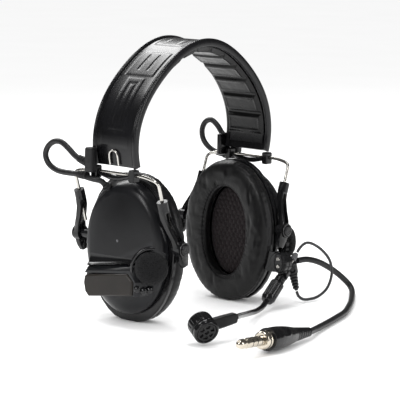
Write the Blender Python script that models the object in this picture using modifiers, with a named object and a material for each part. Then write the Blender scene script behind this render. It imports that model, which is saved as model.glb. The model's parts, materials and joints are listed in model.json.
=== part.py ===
"""Folding two-way radio headset: sprung headband, wire yokes, two sealed ear cups,
a boom microphone and a downlead with a four-pole plug.

Model units are millimetres, scaled to metres when a mesh is made. +X is the wearer's
left, -Y is the wearer's front and +Z is up. The headset stands on its two cups at z = 0.
"""
import math

import bmesh
import bpy
from mathutils import Matrix, Vector

MM = 0.001
GAP = 0.3  # clearance between pieces that touch
BASE_POINT = (2.83, 23.3, 0.0)  # moves the model so that its box is centred on the origin

# headband: an arch in the XZ plane, its outer line a radius that varies with the angle
BAND_CENTRE_Z = 127.4
BAND_RADIUS = 73.3
BAND_RADIUS_TERMS = ((1, -0.8), (2, -2.6), (4, 1.9))
BAND_WIDTH = 40.0
BAND_DEPTH = 5.8
BAND_RECESS = 1.5
BAND_END_ANGLE = 102.0
PAD_END_ANGLE = 93.0
PAD_RIBS = 9

# yoke: the wire turns in the band end about an axis along Y
HINGE_X = 75.0
HINGE_Z = 107.0
WIRE_RADIUS = 1.2
LEG_Y = 39.4
LEG_TOP = Vector((73.8, 0.0, 103.6))
LEG_SLOPE = 0.327  # inward run per unit of drop
LEG_LENGTH = 38.0

# tilt pivots of a cup in its fork
BOSS_X = 58.6
BOSS_Y = 48.0
BOSS_Z = 57.0

# ear cup: ovals in planes of constant x
CUP_Y = -2.5
CUP_Z = 52.2
CUP_HALF_WIDTH = 40.6
CUP_HALF_HEIGHT = 54.2
CUSHION_FACE_X = 44.0
PLATE_INNER_X = 56.5
PLATE_OUTER_X = 60.5
SHELL_BASE_X = 60.8
SHELL_FACE_X = 82.0
SHELL_WALL = 2.2
OVAL_POWER = 2.06
OVAL_SIDES = 36

# ambient microphone windscreen, on the front outer corner of each cup

# boom microphone on the left cup
BOOM_AXIS_Y = -51.5
BOOM_AXIS_Z = 34.2
BOOM_DISC_RADIUS = 7.8
BOOM_NUT_END = Vector((34.5, -52.5, 7.3))
BOOM_UPWARD = Vector((0.745, 0.0, 0.667)).normalized()
BOOM_ROD_RADIUS = 1.3
BOOM_TUBE_RADIUS = 2.0
MIC_CENTRE = Vector((-82.0, -89.0, 12.0))
MIC_NORMAL = Vector((-0.36, -0.84, -0.40)).normalized()
MIC_RADIUS = 9.0
MIC_THICKNESS = 14.0

# cords
DOWNLEAD_RADIUS = 2.3
MIC_LEAD_RADIUS = 1.1
LINK_RADIUS = 2.1
PLUG_START = Vector((-14.0, -128.0, 4.5))
PLUG_DIRECTION = Vector((-0.991, -0.105, 0.080)).normalized()

RIGHT = -1
LEFT = 1
SIDES = ((RIGHT, "right"), (LEFT, "left"))
FRONT = -1
REAR = 1
ENDS = ((FRONT, "front"), (REAR, "rear"))

MATERIALS = {
    "moulded_black": ((0.018, 0.018, 0.020, 1), 0.38, 0.0),
    "shell_black": ((0.022, 0.022, 0.024, 1), 0.55, 0.0),
    "gloss_black": ((0.010, 0.010, 0.011, 1), 0.18, 0.0),
    "rubber_black": ((0.020, 0.020, 0.021, 1), 0.62, 0.0),
    "lid_brown": ((0.035, 0.030, 0.027, 1), 0.45, 0.0),
    "leatherette": ((0.015, 0.015, 0.016, 1), 0.42, 0.0),
    "foam": ((0.028, 0.028, 0.029, 1), 0.95, 0.0),
    "liner": ((0.045, 0.042, 0.042, 1), 0.92, 0.0),
    "steel": ((0.72, 0.71, 0.68, 1), 0.22, 1.0),
    "nickel": ((0.78, 0.74, 0.66, 1), 0.25, 1.0),
    "cable": ((0.030, 0.030, 0.032, 1), 0.50, 0.0),
    "board_green": ((0.03, 0.13, 0.06, 1), 0.5, 0.0),
    "cell_grey": ((0.45, 0.46, 0.48, 1), 0.35, 0.4),
}


# ---------------------------------------------------------------- scene and materials

def clear_scene():
    for obj in list(bpy.data.objects):
        bpy.data.objects.remove(obj, do_unlink=True)


def new_collection(name):
    collection = bpy.data.collections.new(name)
    bpy.context.scene.collection.children.link(collection)
    return collection


def make_material(name, colour, roughness, metallic):
    material = bpy.data.materials.new(name)
    material.use_nodes = True
    shader = material.node_tree.nodes["Principled BSDF"]
    shader.inputs["Base Color"].default_value = colour
    shader.inputs["Roughness"].default_value = roughness
    shader.inputs["Metallic"].default_value = metallic
    material.diffuse_color = colour
    return material


clear_scene()
PARTS = new_collection("radio_headphones")
CUTTERS = new_collection("cutters")
SKINS = {name: make_material(name, *values) for name, values in MATERIALS.items()}
BODIES = {}


def add_body(name, parent, place):
    """An empty on the joint's axis. Model places are kept, so a part under it counts back."""
    empty = bpy.data.objects.new(f"{name}_frame", None)
    empty.empty_display_size = 0.01
    PARTS.objects.link(empty)
    place = Vector(place)
    if parent is None:
        empty.location = Vector(BASE_POINT) * MM
    else:
        empty.parent = BODIES[parent][0]
        empty.location = (place - BODIES[parent][1]) * MM
    BODIES[name] = (empty, place)
    return empty


def attach(obj, body):
    empty, place = BODIES[body]
    obj.parent = empty
    obj.location = -place * MM


def dress(obj, skin, body, collection=None):
    """Gives an object its material, collection and parent."""
    (collection or PARTS).objects.link(obj)
    if skin:
        obj.data.materials.append(SKINS[skin])
    attach(obj, body)
    if collection is CUTTERS:
        obj.hide_render = True
        obj.display_type = "WIRE"
    return obj


def mesh_object(name, bm, skin, body, collection=None, smooth=True):
    bmesh.ops.transform(bm, matrix=Matrix.Scale(MM, 4), verts=bm.verts)
    bmesh.ops.recalc_face_normals(bm, faces=bm.faces)
    data = bpy.data.meshes.new(name)
    bm.to_mesh(data)
    bm.free()
    if smooth:
        data.shade_smooth()
        data.set_sharp_from_angle(angle=math.radians(35))
    return dress(bpy.data.objects.new(name, data), skin, body, collection)


# ---------------------------------------------------------------- shapes

def loft(rings, name, skin, body, caps=(True, True), loop=False, collection=None):
    """A skin over rings of equal count, each ring closed on itself."""
    bm = bmesh.new()
    rows = [[bm.verts.new(point) for point in ring] for ring in rings]
    pairs = list(zip(rows, rows[1:]))
    if loop:
        pairs.append((rows[-1], rows[0]))
    for low, high in pairs:
        for i in range(len(low)):
            j = (i + 1) % len(low)
            bm.faces.new((low[i], low[j], high[j], high[i]))
    if not loop and caps[0]:
        bm.faces.new(list(reversed(rows[0])))
    if not loop and caps[1]:
        bm.faces.new(rows[-1])
    return mesh_object(name, bm, skin, body, collection)


def solidify(obj, thickness, offset=-1.0):
    modifier = obj.modifiers.new("wall", "SOLIDIFY")
    modifier.thickness = thickness * MM
    modifier.offset = offset
    modifier.use_even_offset = True
    return obj


def box(name, low, high, skin, body, collection=None, bevel=0.0, segments=1):
    low, high = Vector(low), Vector(high)
    bm = bmesh.new()
    bmesh.ops.create_cube(bm, size=1.0)
    size = high - low
    centre = (high + low) / 2
    shape = Matrix.Translation(centre) @ Matrix.Diagonal((abs(size.x), abs(size.y), abs(size.z), 1))
    bmesh.ops.transform(bm, matrix=shape, verts=bm.verts)
    obj = mesh_object(name, bm, skin, body, collection, smooth=False)
    if bevel:
        add_bevel(obj, bevel, segments)
    return obj


def add_bevel(obj, width, segments=1):
    modifier = obj.modifiers.new("edges", "BEVEL")
    modifier.width = width * MM
    modifier.segments = segments
    modifier.limit_method = "ANGLE"


def turned(name, profile, origin, direction, skin, body, steps=20, closed=False, collection=None):
    """A profile of (radius, height) turned about the direction through the origin.

    An open profile starts and ends on the axis. Heights run from high to low on the
    outer side, and a closed profile comes back up its inner side.
    """
    data = bpy.data.meshes.new(name)
    points = [(radius * MM, 0.0, height * MM) for radius, height in profile]
    edges = [(i, i + 1) for i in range(len(points) - 1)]
    if closed:
        edges.append((len(points) - 1, 0))
    data.from_pydata(points, edges, [])
    obj = dress(bpy.data.objects.new(name, data), skin, body, collection)
    obj.location = obj.location + Vector(origin) * MM
    obj.rotation_mode = "QUATERNION"
    obj.rotation_quaternion = Vector(direction).to_track_quat("Z", "Y")
    screw = obj.modifiers.new("turn", "SCREW")
    screw.axis = "Z"
    screw.angle = 2 * math.pi
    screw.steps = steps
    screw.render_steps = steps
    screw.use_merge_vertices = True
    screw.merge_threshold = 0.00001
    screw.use_smooth_shade = True
    return obj


def rod(name, start, end, radius, skin, body, steps=16, chamfer=0.0, collection=None):
    """A plain cylinder between two points, with chamfered ends if asked."""
    start, end = Vector(start), Vector(end)
    length = (end - start).length
    top = [(0, length), (radius - chamfer, length)]
    bottom = [(radius - chamfer, 0), (0, 0)]
    if chamfer:
        top.append((radius, length - chamfer))
        bottom.insert(0, (radius, chamfer))
    return turned(name, top + bottom, start, end - start, skin, body, steps, collection=collection)


def ring(name, start, end, outer, inner, skin, body, steps=20, chamfer=0.0):
    """A plain bush between two points."""
    start, end = Vector(start), Vector(end)
    length = (end - start).length
    profile = [(inner, length), (outer - chamfer, length)]
    if chamfer:
        profile += [(outer, length - chamfer), (outer, chamfer)]
    profile += [(outer - chamfer, 0), (inner, 0)]
    return turned(name, profile, start, end - start, skin, body, steps, closed=True)


def catmull(points, t):
    """A point on the smooth curve through the points, with t from 0 to the last index."""
    i = min(int(t), len(points) - 2)
    u = t - i
    p1, p2 = points[i], points[i + 1]
    p0 = points[i - 1] if i > 0 else p1 * 2 - p2
    p3 = points[i + 2] if i + 2 < len(points) else p2 * 2 - p1
    linear = (p2 - p0) * u
    square = (p0 * 2 - p1 * 5 + p2 * 4 - p3) * u * u
    cube = (p1 * 3 - p0 - p2 * 3 + p3) * u ** 3
    return p1 + (linear + square + cube) * 0.5


def smooth_route(points, spacing):
    """Points an even distance apart along the smooth curve through the route's points."""
    points = [Vector(p) for p in points]
    fine = [catmull(points, i / 40) for i in range(40 * (len(points) - 1) + 1)]
    lengths = [0.0]
    for a, b in zip(fine, fine[1:]):
        lengths.append(lengths[-1] + (b - a).length)
    count = max(2, round(lengths[-1] / spacing))
    route = []
    k = 0
    for n in range(count + 1):
        want = lengths[-1] * n / count
        while k < len(fine) - 2 and lengths[k + 1] < want:
            k += 1
        step = lengths[k + 1] - lengths[k]
        route.append(fine[k].lerp(fine[k + 1], (want - lengths[k]) / step if step else 0.0))
    return route


def add_spline(curve, route):
    spline = curve.splines.new("POLY")
    spline.points.add(len(route) - 1)
    for point, place in zip(spline.points, route):
        point.co = (place[0] * MM, place[1] * MM, place[2] * MM, 1.0)


def tube(name, route, radius, skin, body, resolution=2):
    """A curve object with a round bevel and filled caps."""
    curve = bpy.data.curves.new(name, "CURVE")
    curve.dimensions = "3D"
    curve.bevel_depth = radius * MM
    curve.bevel_resolution = resolution
    curve.use_fill_caps = True
    add_spline(curve, route)
    return dress(bpy.data.objects.new(name, curve), skin, body)


def boolean(obj, other, operation):
    modifier = obj.modifiers.new(operation.lower(), "BOOLEAN")
    modifier.object = other
    modifier.operation = operation
    modifier.solver = "EXACT"
    return obj


def cut(obj, cutter):
    return boolean(obj, cutter, "DIFFERENCE")


def join(obj, other):
    return boolean(obj, other, "UNION")


def helper(make, name, *values, **options):
    """A shape that only cuts or joins: it goes among the cutters and isn't built."""
    return make(name, *values, collection=CUTTERS, **options)


def oval(side, x, centre_y, centre_z, half_y, half_z, power=OVAL_POWER, floor=None, count=OVAL_SIDES):
    """A superellipse in the plane at x, its lowest part flattened at the floor."""
    points = []
    for i in range(count):
        angle = 2 * math.pi * i / count
        c, s = math.cos(angle), math.sin(angle)
        y = centre_y + half_y * math.copysign(abs(c) ** (2 / power), c)
        z = centre_z + half_z * math.copysign(abs(s) ** (2 / power), s)
        if floor is not None:
            z = max(z, floor)
        points.append(Vector((side * x, y, z)))
    return points


def leaning_oval(side, x, lean, low_y, high_y, low_z, high_z):
    """An oval between four limits, whose plane turns towards the front."""
    points = oval(side, x, (low_y + high_y) / 2, (low_z + high_z) / 2, (high_y - low_y) / 2, (high_z - low_z) / 2)
    return [point + Vector((side * lean * (point.y + 6.0), 0, 0)) for point in points]


def mirrored(side, point):
    point = Vector(point)
    return Vector((side * point.x, point.y, point.z))


# ---------------------------------------------------------------- headband

def band_line(angle):
    """Outer line of the arch at an angle from the top, in radians."""
    radius = BAND_RADIUS
    for order, size in BAND_RADIUS_TERMS:
        radius += size * math.cos(order * angle)
    return Vector((radius * math.sin(angle), 0.0, BAND_CENTRE_Z + radius * math.cos(angle)))


def band_point(angle, depth, y):
    """A point at a depth under the outer line."""
    step = 0.001
    along = (band_line(angle + step) - band_line(angle - step)).normalized()
    inward = Vector((-along.z, 0.0, along.x))
    if inward.dot(Vector((math.sin(angle), 0, math.cos(angle)))) > 0:
        inward = -inward
    place = band_line(angle) + inward * depth
    return Vector((place.x, y, place.z))


def band_sweep(section, end_angle, stations, name, skin):
    """Sweeps a section of (y, depth) along the arch. The section may depend on the angle."""
    rings = []
    for i in range(stations + 1):
        angle = math.radians(-end_angle + 2 * end_angle * i / stations)
        rings.append([band_point(angle, depth, y) for y, depth in section(angle)])
    return loft(rings, name, skin, "headphones")


def shell_section(_angle):
    half = BAND_WIDTH / 2
    outer = [(half, 1.0), (half - 1, 0.0), (half - 3, 0.1), (half - 4, BAND_RECESS)]
    inner = [(half - 3.6, 4.4), (half - 3, BAND_DEPTH), (half - 1, BAND_DEPTH), (half, 5.0)]
    right_side = outer[::-1] + inner[::-1]
    return [(-y, d) for y, d in outer] + right_side + [(-y, d) for y, d in inner]


def spring_section(_angle):
    return [(-15.5, 4.7), (15.5, 4.7), (15.5, 5.5), (-15.5, 5.5)]


def pad_section(angle):
    """The pad is thick at the crown and thin at its ends, with ribs across it."""
    crown = 0.5 + 0.5 * math.cos(min(math.pi, abs(angle) * 2.0))
    rib = 0.8 * math.cos(angle / math.radians(PAD_END_ANGLE) * PAD_RIBS * math.pi)
    depth = BAND_DEPTH + 2.9 + 2.4 * crown + (rib if abs(angle) < math.radians(80) else 0.0)
    top = BAND_DEPTH + GAP
    return [(-18, top), (18, top), (18.6, depth - 1.2), (17, depth), (-17, depth), (-18.6, depth - 1.2)]


def make_headband():
    band_sweep(shell_section, BAND_END_ANGLE, 36, "headband_shell", "moulded_black")
    band_sweep(spring_section, BAND_END_ANGLE - 4, 30, "headband_spring", "steel")
    band_sweep(pad_section, PAD_END_ANGLE, 54, "headband_pad", "leatherette")


def make_band_end(side, word):
    """The bracket that carries the yoke, with its stirrup, and the clips."""
    x = side * HINGE_X
    half = [(17.0, 106.6), (14.0, 106.0), (10.5, 105.0), (5.5, 103.9)]
    drop = half + [(0.0, 103.5)] + [(-y, z) for y, z in reversed(half)]
    rings = []
    for k, (y, z) in enumerate(drop):
        before, after = drop[max(k - 1, 0)], drop[min(k + 1, len(drop) - 1)]
        along = Vector((0, after[0] - before[0], after[1] - before[1])).normalized()
        rise = Vector((0, -along.z, along.y))
        rings.append([Vector((x, y, z)) + (Vector((1, 0, 0)) * math.cos(a) + rise * math.sin(a)) * 1.9
                      for a in (math.pi * n / 5 for n in range(10))])
    bracket = loft(rings, f"end_bracket_{word}", "gloss_black", "headphones")
    for end, place in ENDS:
        join(bracket, helper(box, f"bracket_block_{word}_{place}", (x - 3.4, end * 15.0, HINGE_Z - 5.0),
                             (x + 3.4, end * 20.5, HINGE_Z + 3.9), None, "headphones", bevel=0.8))
    cut(bracket, helper(rod, f"bracket_bore_{word}", (x, -24.0, HINGE_Z), (x, 24.0, HINGE_Z),
                        WIRE_RADIUS + 0.35, None, "headphones", steps=8))

    legs = [(101.0, 4.0), (98.0, 4.0), (95.5, 3.8), (94.0, 2.7), (93.2, 0.0)]
    loop = legs + [(angle, -y) for angle, y in reversed(legs[:-1])]
    wire = [band_point(side * math.radians(angle), 0.3, y) for angle, y in loop]
    tube(f"spring_clip_{word}", smooth_route(wire, 2.2), 0.75, "steel", "headphones")

    box(f"cable_clip_{word}", (side * 78.4, 13.5, 106.4), (side * 84.6, 26.0, 124.0),
        "rubber_black", "headphones", bevel=1.5, segments=2)


LINK_LOOPS = {
    RIGHT: [(26.9, 114.5), (28.8, 114.8), (33.0, 116.8), (39.0, 121.0), (46.0, 124.8), (53.0, 124.6), (59.0, 120.6),
            (61.6, 114.4), (58.6, 108.4), (52.0, 104.8), (44.0, 103.6), (35.0, 103.6), (27.0, 103.6)],
    LEFT: [(27.1, 118.0), (28.6, 118.4), (32.0, 120.9), (36.5, 126.0), (42.5, 129.6), (48.5, 127.4), (51.6, 121.0),
           (50.0, 113.6), (44.0, 108.0), (35.5, 104.8), (27.0, 103.8)],
}
LINK_RUN_IN = [(81.5, 21.8, 102.6), (81.1, 17.4, 101.8), (79.6, 13.2, 101.2), (77.6, 10.6, 100.4), (75.45, 9.75, 98.4)]
GROMMET_START = Vector((75.0, 9.5, 98.0))
GROMMET_END = Vector((67.0, 6.5, 90.0))


def make_link(side, word):
    """The link cable: out of the clip, a slack loop behind it, then under the stirrup to the cup."""
    route = [(side * 81.5, y, z) for y, z in LINK_LOOPS[side]]
    route += [mirrored(side, point) for point in LINK_RUN_IN]
    tube(f"link_cable_{word}", smooth_route(route, 5.6), LINK_RADIUS, "cable", "headphones")


# ---------------------------------------------------------------- yoke and fork

def leg_point(side, end, run, y=None):
    """A point a distance down the straight leg of the yoke wire."""
    drop = 1.0 / math.hypot(1.0, LEG_SLOPE)
    x = LEG_TOP.x - LEG_SLOPE * drop * run
    return Vector((side * x, end * (LEG_Y if y is None else y), LEG_TOP.z - drop * run))


def leg_normal(side):
    """Points outward, square to the leg, in the XZ plane."""
    return Vector((side * 1.0, 0.0, -LEG_SLOPE)).normalized()


def make_yoke(side, word):
    body = f"yoke_{word}"
    add_body(body, "headphones", (side * HINGE_X, 0.0, HINGE_Z))
    shoulder = [(73.4, 39.2, 102.4), (74.2, 38.1, 104.0), (74.6, 35.8, 105.1), (74.9, 32.0, 106.0),
                (75.0, 28.0, 106.7), (75.0, 23.5, 107.0), (75.0, 18.0, 107.0), (75.0, 9.0, 107.0)]
    route = [leg_point(side, REAR, run) for run in (LEG_LENGTH, 28.0, 18.0, 9.0, 4.0)]
    route += [mirrored(side, point) for point in shoulder]
    route += [mirrored(side, (x, -y, z)) for x, y, z in reversed(shoulder)]
    route += [leg_point(side, FRONT, run) for run in (4.0, 9.0, 18.0, 28.0, LEG_LENGTH)]
    tube(f"yoke_wire_{word}", smooth_route(route, 5.0), WIRE_RADIUS, "steel", body)


ARM_STATIONS = ((19.9, 39.4, 3.5, 2.7), (26.0, 39.9, 3.7, 2.7), (34.0, 42.8, 3.9, 2.6),
                (41.0, 46.0, 4.2, 2.5), (49.0, 48.0, 4.8, 2.5), (57.0, 48.0, 4.3, 2.4),
                (62.0, 48.0, 2.6, 2.0))


def slab_ring(centre, across, half_width, half_depth, chamfer=0.28):
    """An eight-sided slab section around a centre, across one direction and Y."""
    ring_points = []
    inset_w, inset_d = half_width * (1 - chamfer), half_depth * (1 - chamfer)
    corners = ((half_width, inset_d), (inset_w, half_depth), (-inset_w, half_depth), (-half_width, inset_d),
               (-half_width, -inset_d), (-inset_w, -half_depth), (inset_w, -half_depth), (half_width, -inset_d))
    for w, d in corners:
        ring_points.append(centre + across * w + Vector((0, d, 0)))
    return ring_points


def make_fork(side, word):
    """Two arms that slide on the legs, with a steel collar at the top of each."""
    body = f"fork_{word}"
    add_body(body, f"yoke_{word}", (side * BOSS_X, 0.0, BOSS_Z))
    across = leg_normal(side)
    for end, place in ENDS:
        name = f"fork_arm_{word}_{place}"
        rings = [slab_ring(leg_point(side, end, run, y), across, width, depth)
                 for run, y, width, depth in ARM_STATIONS]
        arm = loft(rings, name, "gloss_black", body)
        hub = helper(rod, f"{name}_hub", (side * BOSS_X, end * (BOSS_Y - 2.7), BOSS_Z),
                     (side * BOSS_X, end * (BOSS_Y + 2.7), BOSS_Z), 5.6, None, body, steps=14)
        join(arm, hub)
        bore = helper(rod, f"{name}_bore", (side * BOSS_X, end * (BOSS_Y - 6), BOSS_Z),
                      (side * BOSS_X, end * (BOSS_Y + 6), BOSS_Z), 2.3, None, body, steps=12)
        cut(arm, bore)
        slot_rings = [slab_ring(leg_point(side, end, run, LEG_Y + 5.5), across, 1.8, 7.0, 0.01)
                      for run in (22.2, 43.4)]
        join(arm, helper(rod, f"{name}_collar", leg_point(side, end, 20.7), leg_point(side, end, 13.6),
                         3.9, None, body, steps=12))
        cut(arm, loft(slot_rings, f"{name}_slot", None, body, collection=CUTTERS))
        cut(arm, helper(rod, f"{name}_guide", leg_point(side, end, 24.4), leg_point(side, end, 11.0),
                        WIRE_RADIUS + 0.35, None, body, steps=8))


# ---------------------------------------------------------------- cups

# (x, lean of x along y, least and greatest y, least and greatest z)
SHELL_RINGS = {
    RIGHT: ((60.9, 0.0, -39.0, 35.6, 4.4, 101.6), (63.2, 0.0, -39.0, 35.2, 4.6, 101.6),
            (67.0, 0.03, -38.4, 31.6, 6.6, 100.8), (70.2, 0.07, -37.4, 28.2, 10.5, 99.2),
            (72.5, 0.1, -35.6, 25.0, 15.5, 96.6), (73.5, 0.1, -32.8, 22.0, 20.5, 93.0)),
    LEFT: ((60.9, 0.0, -39.0, 35.6, 4.4, 101.6), (63.2, 0.0, -39.0, 35.2, 4.6, 101.6),
           (68.0, 0.02, -38.6, 33.0, 6.6, 100.0), (74.0, 0.03, -38.0, 30.5, 10.0, 96.0),
           (78.0, 0.05, -36.0, 27.0, 14.0, 92.5), (79.5, 0.05, -33.0, 24.0, 19.0, 89.0)),
}
FOAM_CENTRE = {RIGHT: Vector((-71.0, -31.3, 43.7)), LEFT: Vector((76.5, -36.5, 45.0))}
FOAM_AXIS = {RIGHT: Vector((-0.75, -0.66, 0.0)).normalized(), LEFT: Vector((0.75, -0.66, 0.0)).normalized()}
CUSHION_HOLE = (19.0, 33.0)
CUSHION_OUTER = (40.6, 53.2)
# (share of the way from the hole to the outer edge, x)
CUSHION_SECTION = ((0.22, 56.2), (0.08, 53.0), (0.0, 49.0), (0.10, 45.8), (0.34, 44.0),
                   (0.66, 44.2), (0.90, 46.0), (1.0, 49.8), (0.98, 54.0), (0.88, 56.2))
FOAM_LINER = (19.6, 34.0)


def make_cup(side, word):
    body = f"cup_{word}"
    add_body(body, f"fork_{word}", (side * BOSS_X, 0.0, BOSS_Z))
    make_cup_shell(side, word, body)
    make_back_plate(side, word, body)
    make_soft_parts(side, word, body)
    make_speaker(side, word, body)
    make_ambient_mic(side, word, body)
    for end, place in ENDS:
        make_pivot_screw(side, word, end, place, body)
    make_grommet(side, word, body)


def make_cup_shell(side, word, body):
    rings = [leaning_oval(side, *ring_values) for ring_values in SHELL_RINGS[side]]
    shell = loft(rings, f"cup_shell_{word}", "shell_black", body, caps=(False, True))
    solidify(shell, SHELL_WALL)
    if side == RIGHT:
        cut_battery_bay(shell, body)
    centre, axis = FOAM_CENTRE[side], FOAM_AXIS[side]
    cut(shell, helper(rod, f"pocket_hole_{word}", centre - axis * 14, centre + axis * 14,
                      11.5, None, body, steps=16))
    start, end = mirrored(side, GROMMET_START), mirrored(side, GROMMET_END)
    along = (end - start).normalized()
    cut(shell, helper(rod, f"grommet_hole_{word}", start - along * 4, end + along * 2, 3.3, None, body))
    if side == LEFT:
        into = (GLAND_END - GLAND_START).normalized()
        cut(shell, helper(rod, "gland_hole", GLAND_START - into * 2, GLAND_START + into * 18, 4.2, None, body))
    if side == RIGHT:
        for name, place in BUTTON_PLACES.items():
            cut(shell, helper(rod, f"{name}_hole", place + BUTTON_AXIS * -2.6, place + BUTTON_AXIS * 8,
                              BUTTON_RADIUS + 0.25, None, body))
    return shell


def make_back_plate(side, word, body):
    rings = [oval(side, x, CUP_Y, CUP_Z, CUP_HALF_WIDTH - inset, CUP_HALF_HEIGHT - inset, floor=0.0)
             for x, inset in ((PLATE_INNER_X, 0.6), (PLATE_INNER_X + 0.7, 0.0),
                              (PLATE_OUTER_X - 0.7, 0.0), (PLATE_OUTER_X, 0.6))]
    plate = loft(rings, f"back_plate_{word}", "gloss_black", body)
    cut(plate, helper(rod, f"speaker_hole_{word}", (side * 50.0, CUP_Y, CUP_Z),
                      (side * 66.0, CUP_Y, CUP_Z), 17.6, None, body, steps=20))
    for end, place in ENDS:
        inner = CUP_Y + end * (CUP_HALF_WIDTH - 1.0)
        join(plate, helper(rod, f"plate_ear_{word}_{place}", (side * 58.5, inner, BOSS_Z),
                           (side * 58.5, end * (BOSS_Y - 3.5), BOSS_Z), 3.6, None, body))


def blend_oval(side, share, x):
    half_y = CUSHION_HOLE[0] + (CUSHION_OUTER[0] - CUSHION_HOLE[0]) * share
    half_z = CUSHION_HOLE[1] + (CUSHION_OUTER[1] - CUSHION_HOLE[1]) * share
    return oval(side, x, CUP_Y, CUP_Z, half_y, half_z, floor=0.05)


def make_soft_parts(side, word, body):
    rings = [blend_oval(side, share, x) for share, x in CUSHION_SECTION]
    loft(rings, f"ear_cushion_{word}", "leatherette", body, loop=True)
    liner = [oval(side, x, CUP_Y, CUP_Z, FOAM_LINER[0] - inset, FOAM_LINER[1] - inset, count=32)
             for x, inset in ((56.2, 0.0), (54.0, 0.0), (53.2, 1.2))]
    loft(liner, f"ear_foam_{word}", "liner", body)


def make_speaker(side, word, body):
    profile = [(0, 9.2), (7.0, 9.2), (7.0, 6.4), (13.0, 3.4), (17.0, 3.2), (17.0, 0.4), (0, 0.4)]
    turned(f"speaker_{word}", profile, (side * PLATE_INNER_X, CUP_Y, CUP_Z), (side, 0, 0),
           "moulded_black", body, steps=20)


def make_ambient_mic(side, word, body):
    centre, axis = FOAM_CENTRE[side], FOAM_AXIS[side]
    bowl = [(0, -3.8), (7.6, -3.4), (10.4, -0.4), (10.6, 1.8), (11.2, 1.8), (11.2, -1.4), (8.6, -4.6), (0, -5.2)]
    turned(f"mic_pocket_{word}", bowl, centre, axis, "gloss_black", body, steps=20)
    foam = [(0, 8.4), (4.2, 7.9), (7.6, 6.2), (9.6, 3.6), (10.2, 1.0), (9.9, -0.2), (7.2, -2.8), (0, -3.2)]
    turned(f"ambient_foam_{word}", foam, centre, axis, "foam", body, steps=18)


def make_pivot_screw(side, word, end, place, body):
    """A shouldered screw through the fork arm, against the ear of the back plate."""
    profile = [(0, 7.4), (3.4, 7.4), (3.9, 6.6), (3.9, 5.9), (2.0, 5.9), (2.0, 0.0), (0, 0.0)]
    start = Vector((side * BOSS_X, end * (BOSS_Y - 2.6), BOSS_Z))
    turned(f"pivot_screw_{word}_{place}", profile, start, (0, end, 0), "gloss_black", body, steps=16)


def make_grommet(side, word, body):
    start, end = mirrored(side, GROMMET_START), mirrored(side, GROMMET_END)
    length = (end - start).length
    profile = [(0, length), (2.4, length), (2.6, length - 1.4), (3.8, length - 1.8), (3.8, length - 3.0),
               (2.9, length - 3.3), (2.9, 0.0), (0, 0.0)]
    turned(f"cable_grommet_{word}", profile, end, start - end, "rubber_black", body)


# ---------------------------------------------------------------- right cup only

LID_OUTLINE = ((22.4, 31.2), (20.6, 32.8), (-18.0, 38.3), (-23.5, 33.0), (-23.4, 27.2), (-22.6, 23.3),
               (18.4, 17.2), (21.8, 20.5), (23.1, 26.8))
LID_CENTRE = Vector((0.0, -0.2, 27.8))
LID_HINGE = Vector((-81.4, 1.0, 35.6))
# (x, share of the lid's outline along Y and along Z, rise) of the raised frame above the lid
BAY_RINGS = ((-68.0, 1.03, 1.05, 6.4), (-76.8, 1.03, 1.05, 5.8), (-78.8, 1.02, 1.03, 4.0),
             (-80.0, 1.01, 1.02, 3.0), (-80.4, 1.0, 1.0, 2.6))
BUTTON_AXIS = Vector((-0.58, -0.70, -0.41)).normalized()
BUTTON_RADIUS = 1.65
BUTTON_PLACES = {
    "button_power": Vector((-79.5, -26.5, 28.9)),
    "button_up": Vector((-75.3, -28.7, 27.7)),
    "button_down": Vector((-69.9, -29.7, 27.4)),
}
CELL_RADIUS = 5.15
CELL_CENTRE = Vector((-71.5, -0.2, 27.8))
CELL_SLOPE = Vector((0.0, -0.990, 0.141))


def lid_ring(x, share_y, share_z, rise=0.0, spill=0.0):
    """The lid's outline at one depth. Rise lifts its upper and front edges, spill widens the others."""
    ring_points = []
    for y, z in LID_OUTLINE:
        slope = LID_CENTRE.z - 0.141 * (y - LID_CENTRE.y)
        lift = rise if z > slope + 2.0 else 0.0
        drop = spill if z < slope - 5.0 else 0.0
        forward = -0.7 * rise if y < -15.0 else 0.0
        backward = spill if y > 15.0 else 0.0
        ring_points.append(Vector((x, LID_CENTRE.y + (y - LID_CENTRE.y) * share_y + forward + backward,
                                   slope + (z - slope) * share_z + lift - drop)))
    return ring_points


def cut_battery_bay(shell, body):
    """A block behind the lid, a raised frame above it, the recess of the lid and the cell's space."""
    block = [lid_ring(x, 1.03, 1.05) for x in (-66.0, -76.7)]
    join(shell, loft(block, "bay_block", None, body, collection=CUTTERS))
    frame = [lid_ring(*ring_values) for ring_values in BAY_RINGS]
    join(shell, loft(frame, "bay_frame", None, body, collection=CUTTERS))
    recess = [lid_ring(x, 1.02, 1.03, spill=7.0) for x in (-76.9, -86.0)]
    cut(shell, loft(recess, "lid_recess", None, body, collection=CUTTERS))
    rings = []
    for x in (-64.0, -78.0):
        rings.append([CELL_CENTRE + CELL_SLOPE * along + Vector((x - CELL_CENTRE.x, 0, across))
                      for along, across in ((-22.9, 6.6), (22.9, 6.6), (22.9, -6.6), (-22.9, -6.6))])
    cut(shell, loft(rings, "cell_way", None, body, collection=CUTTERS))


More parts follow.
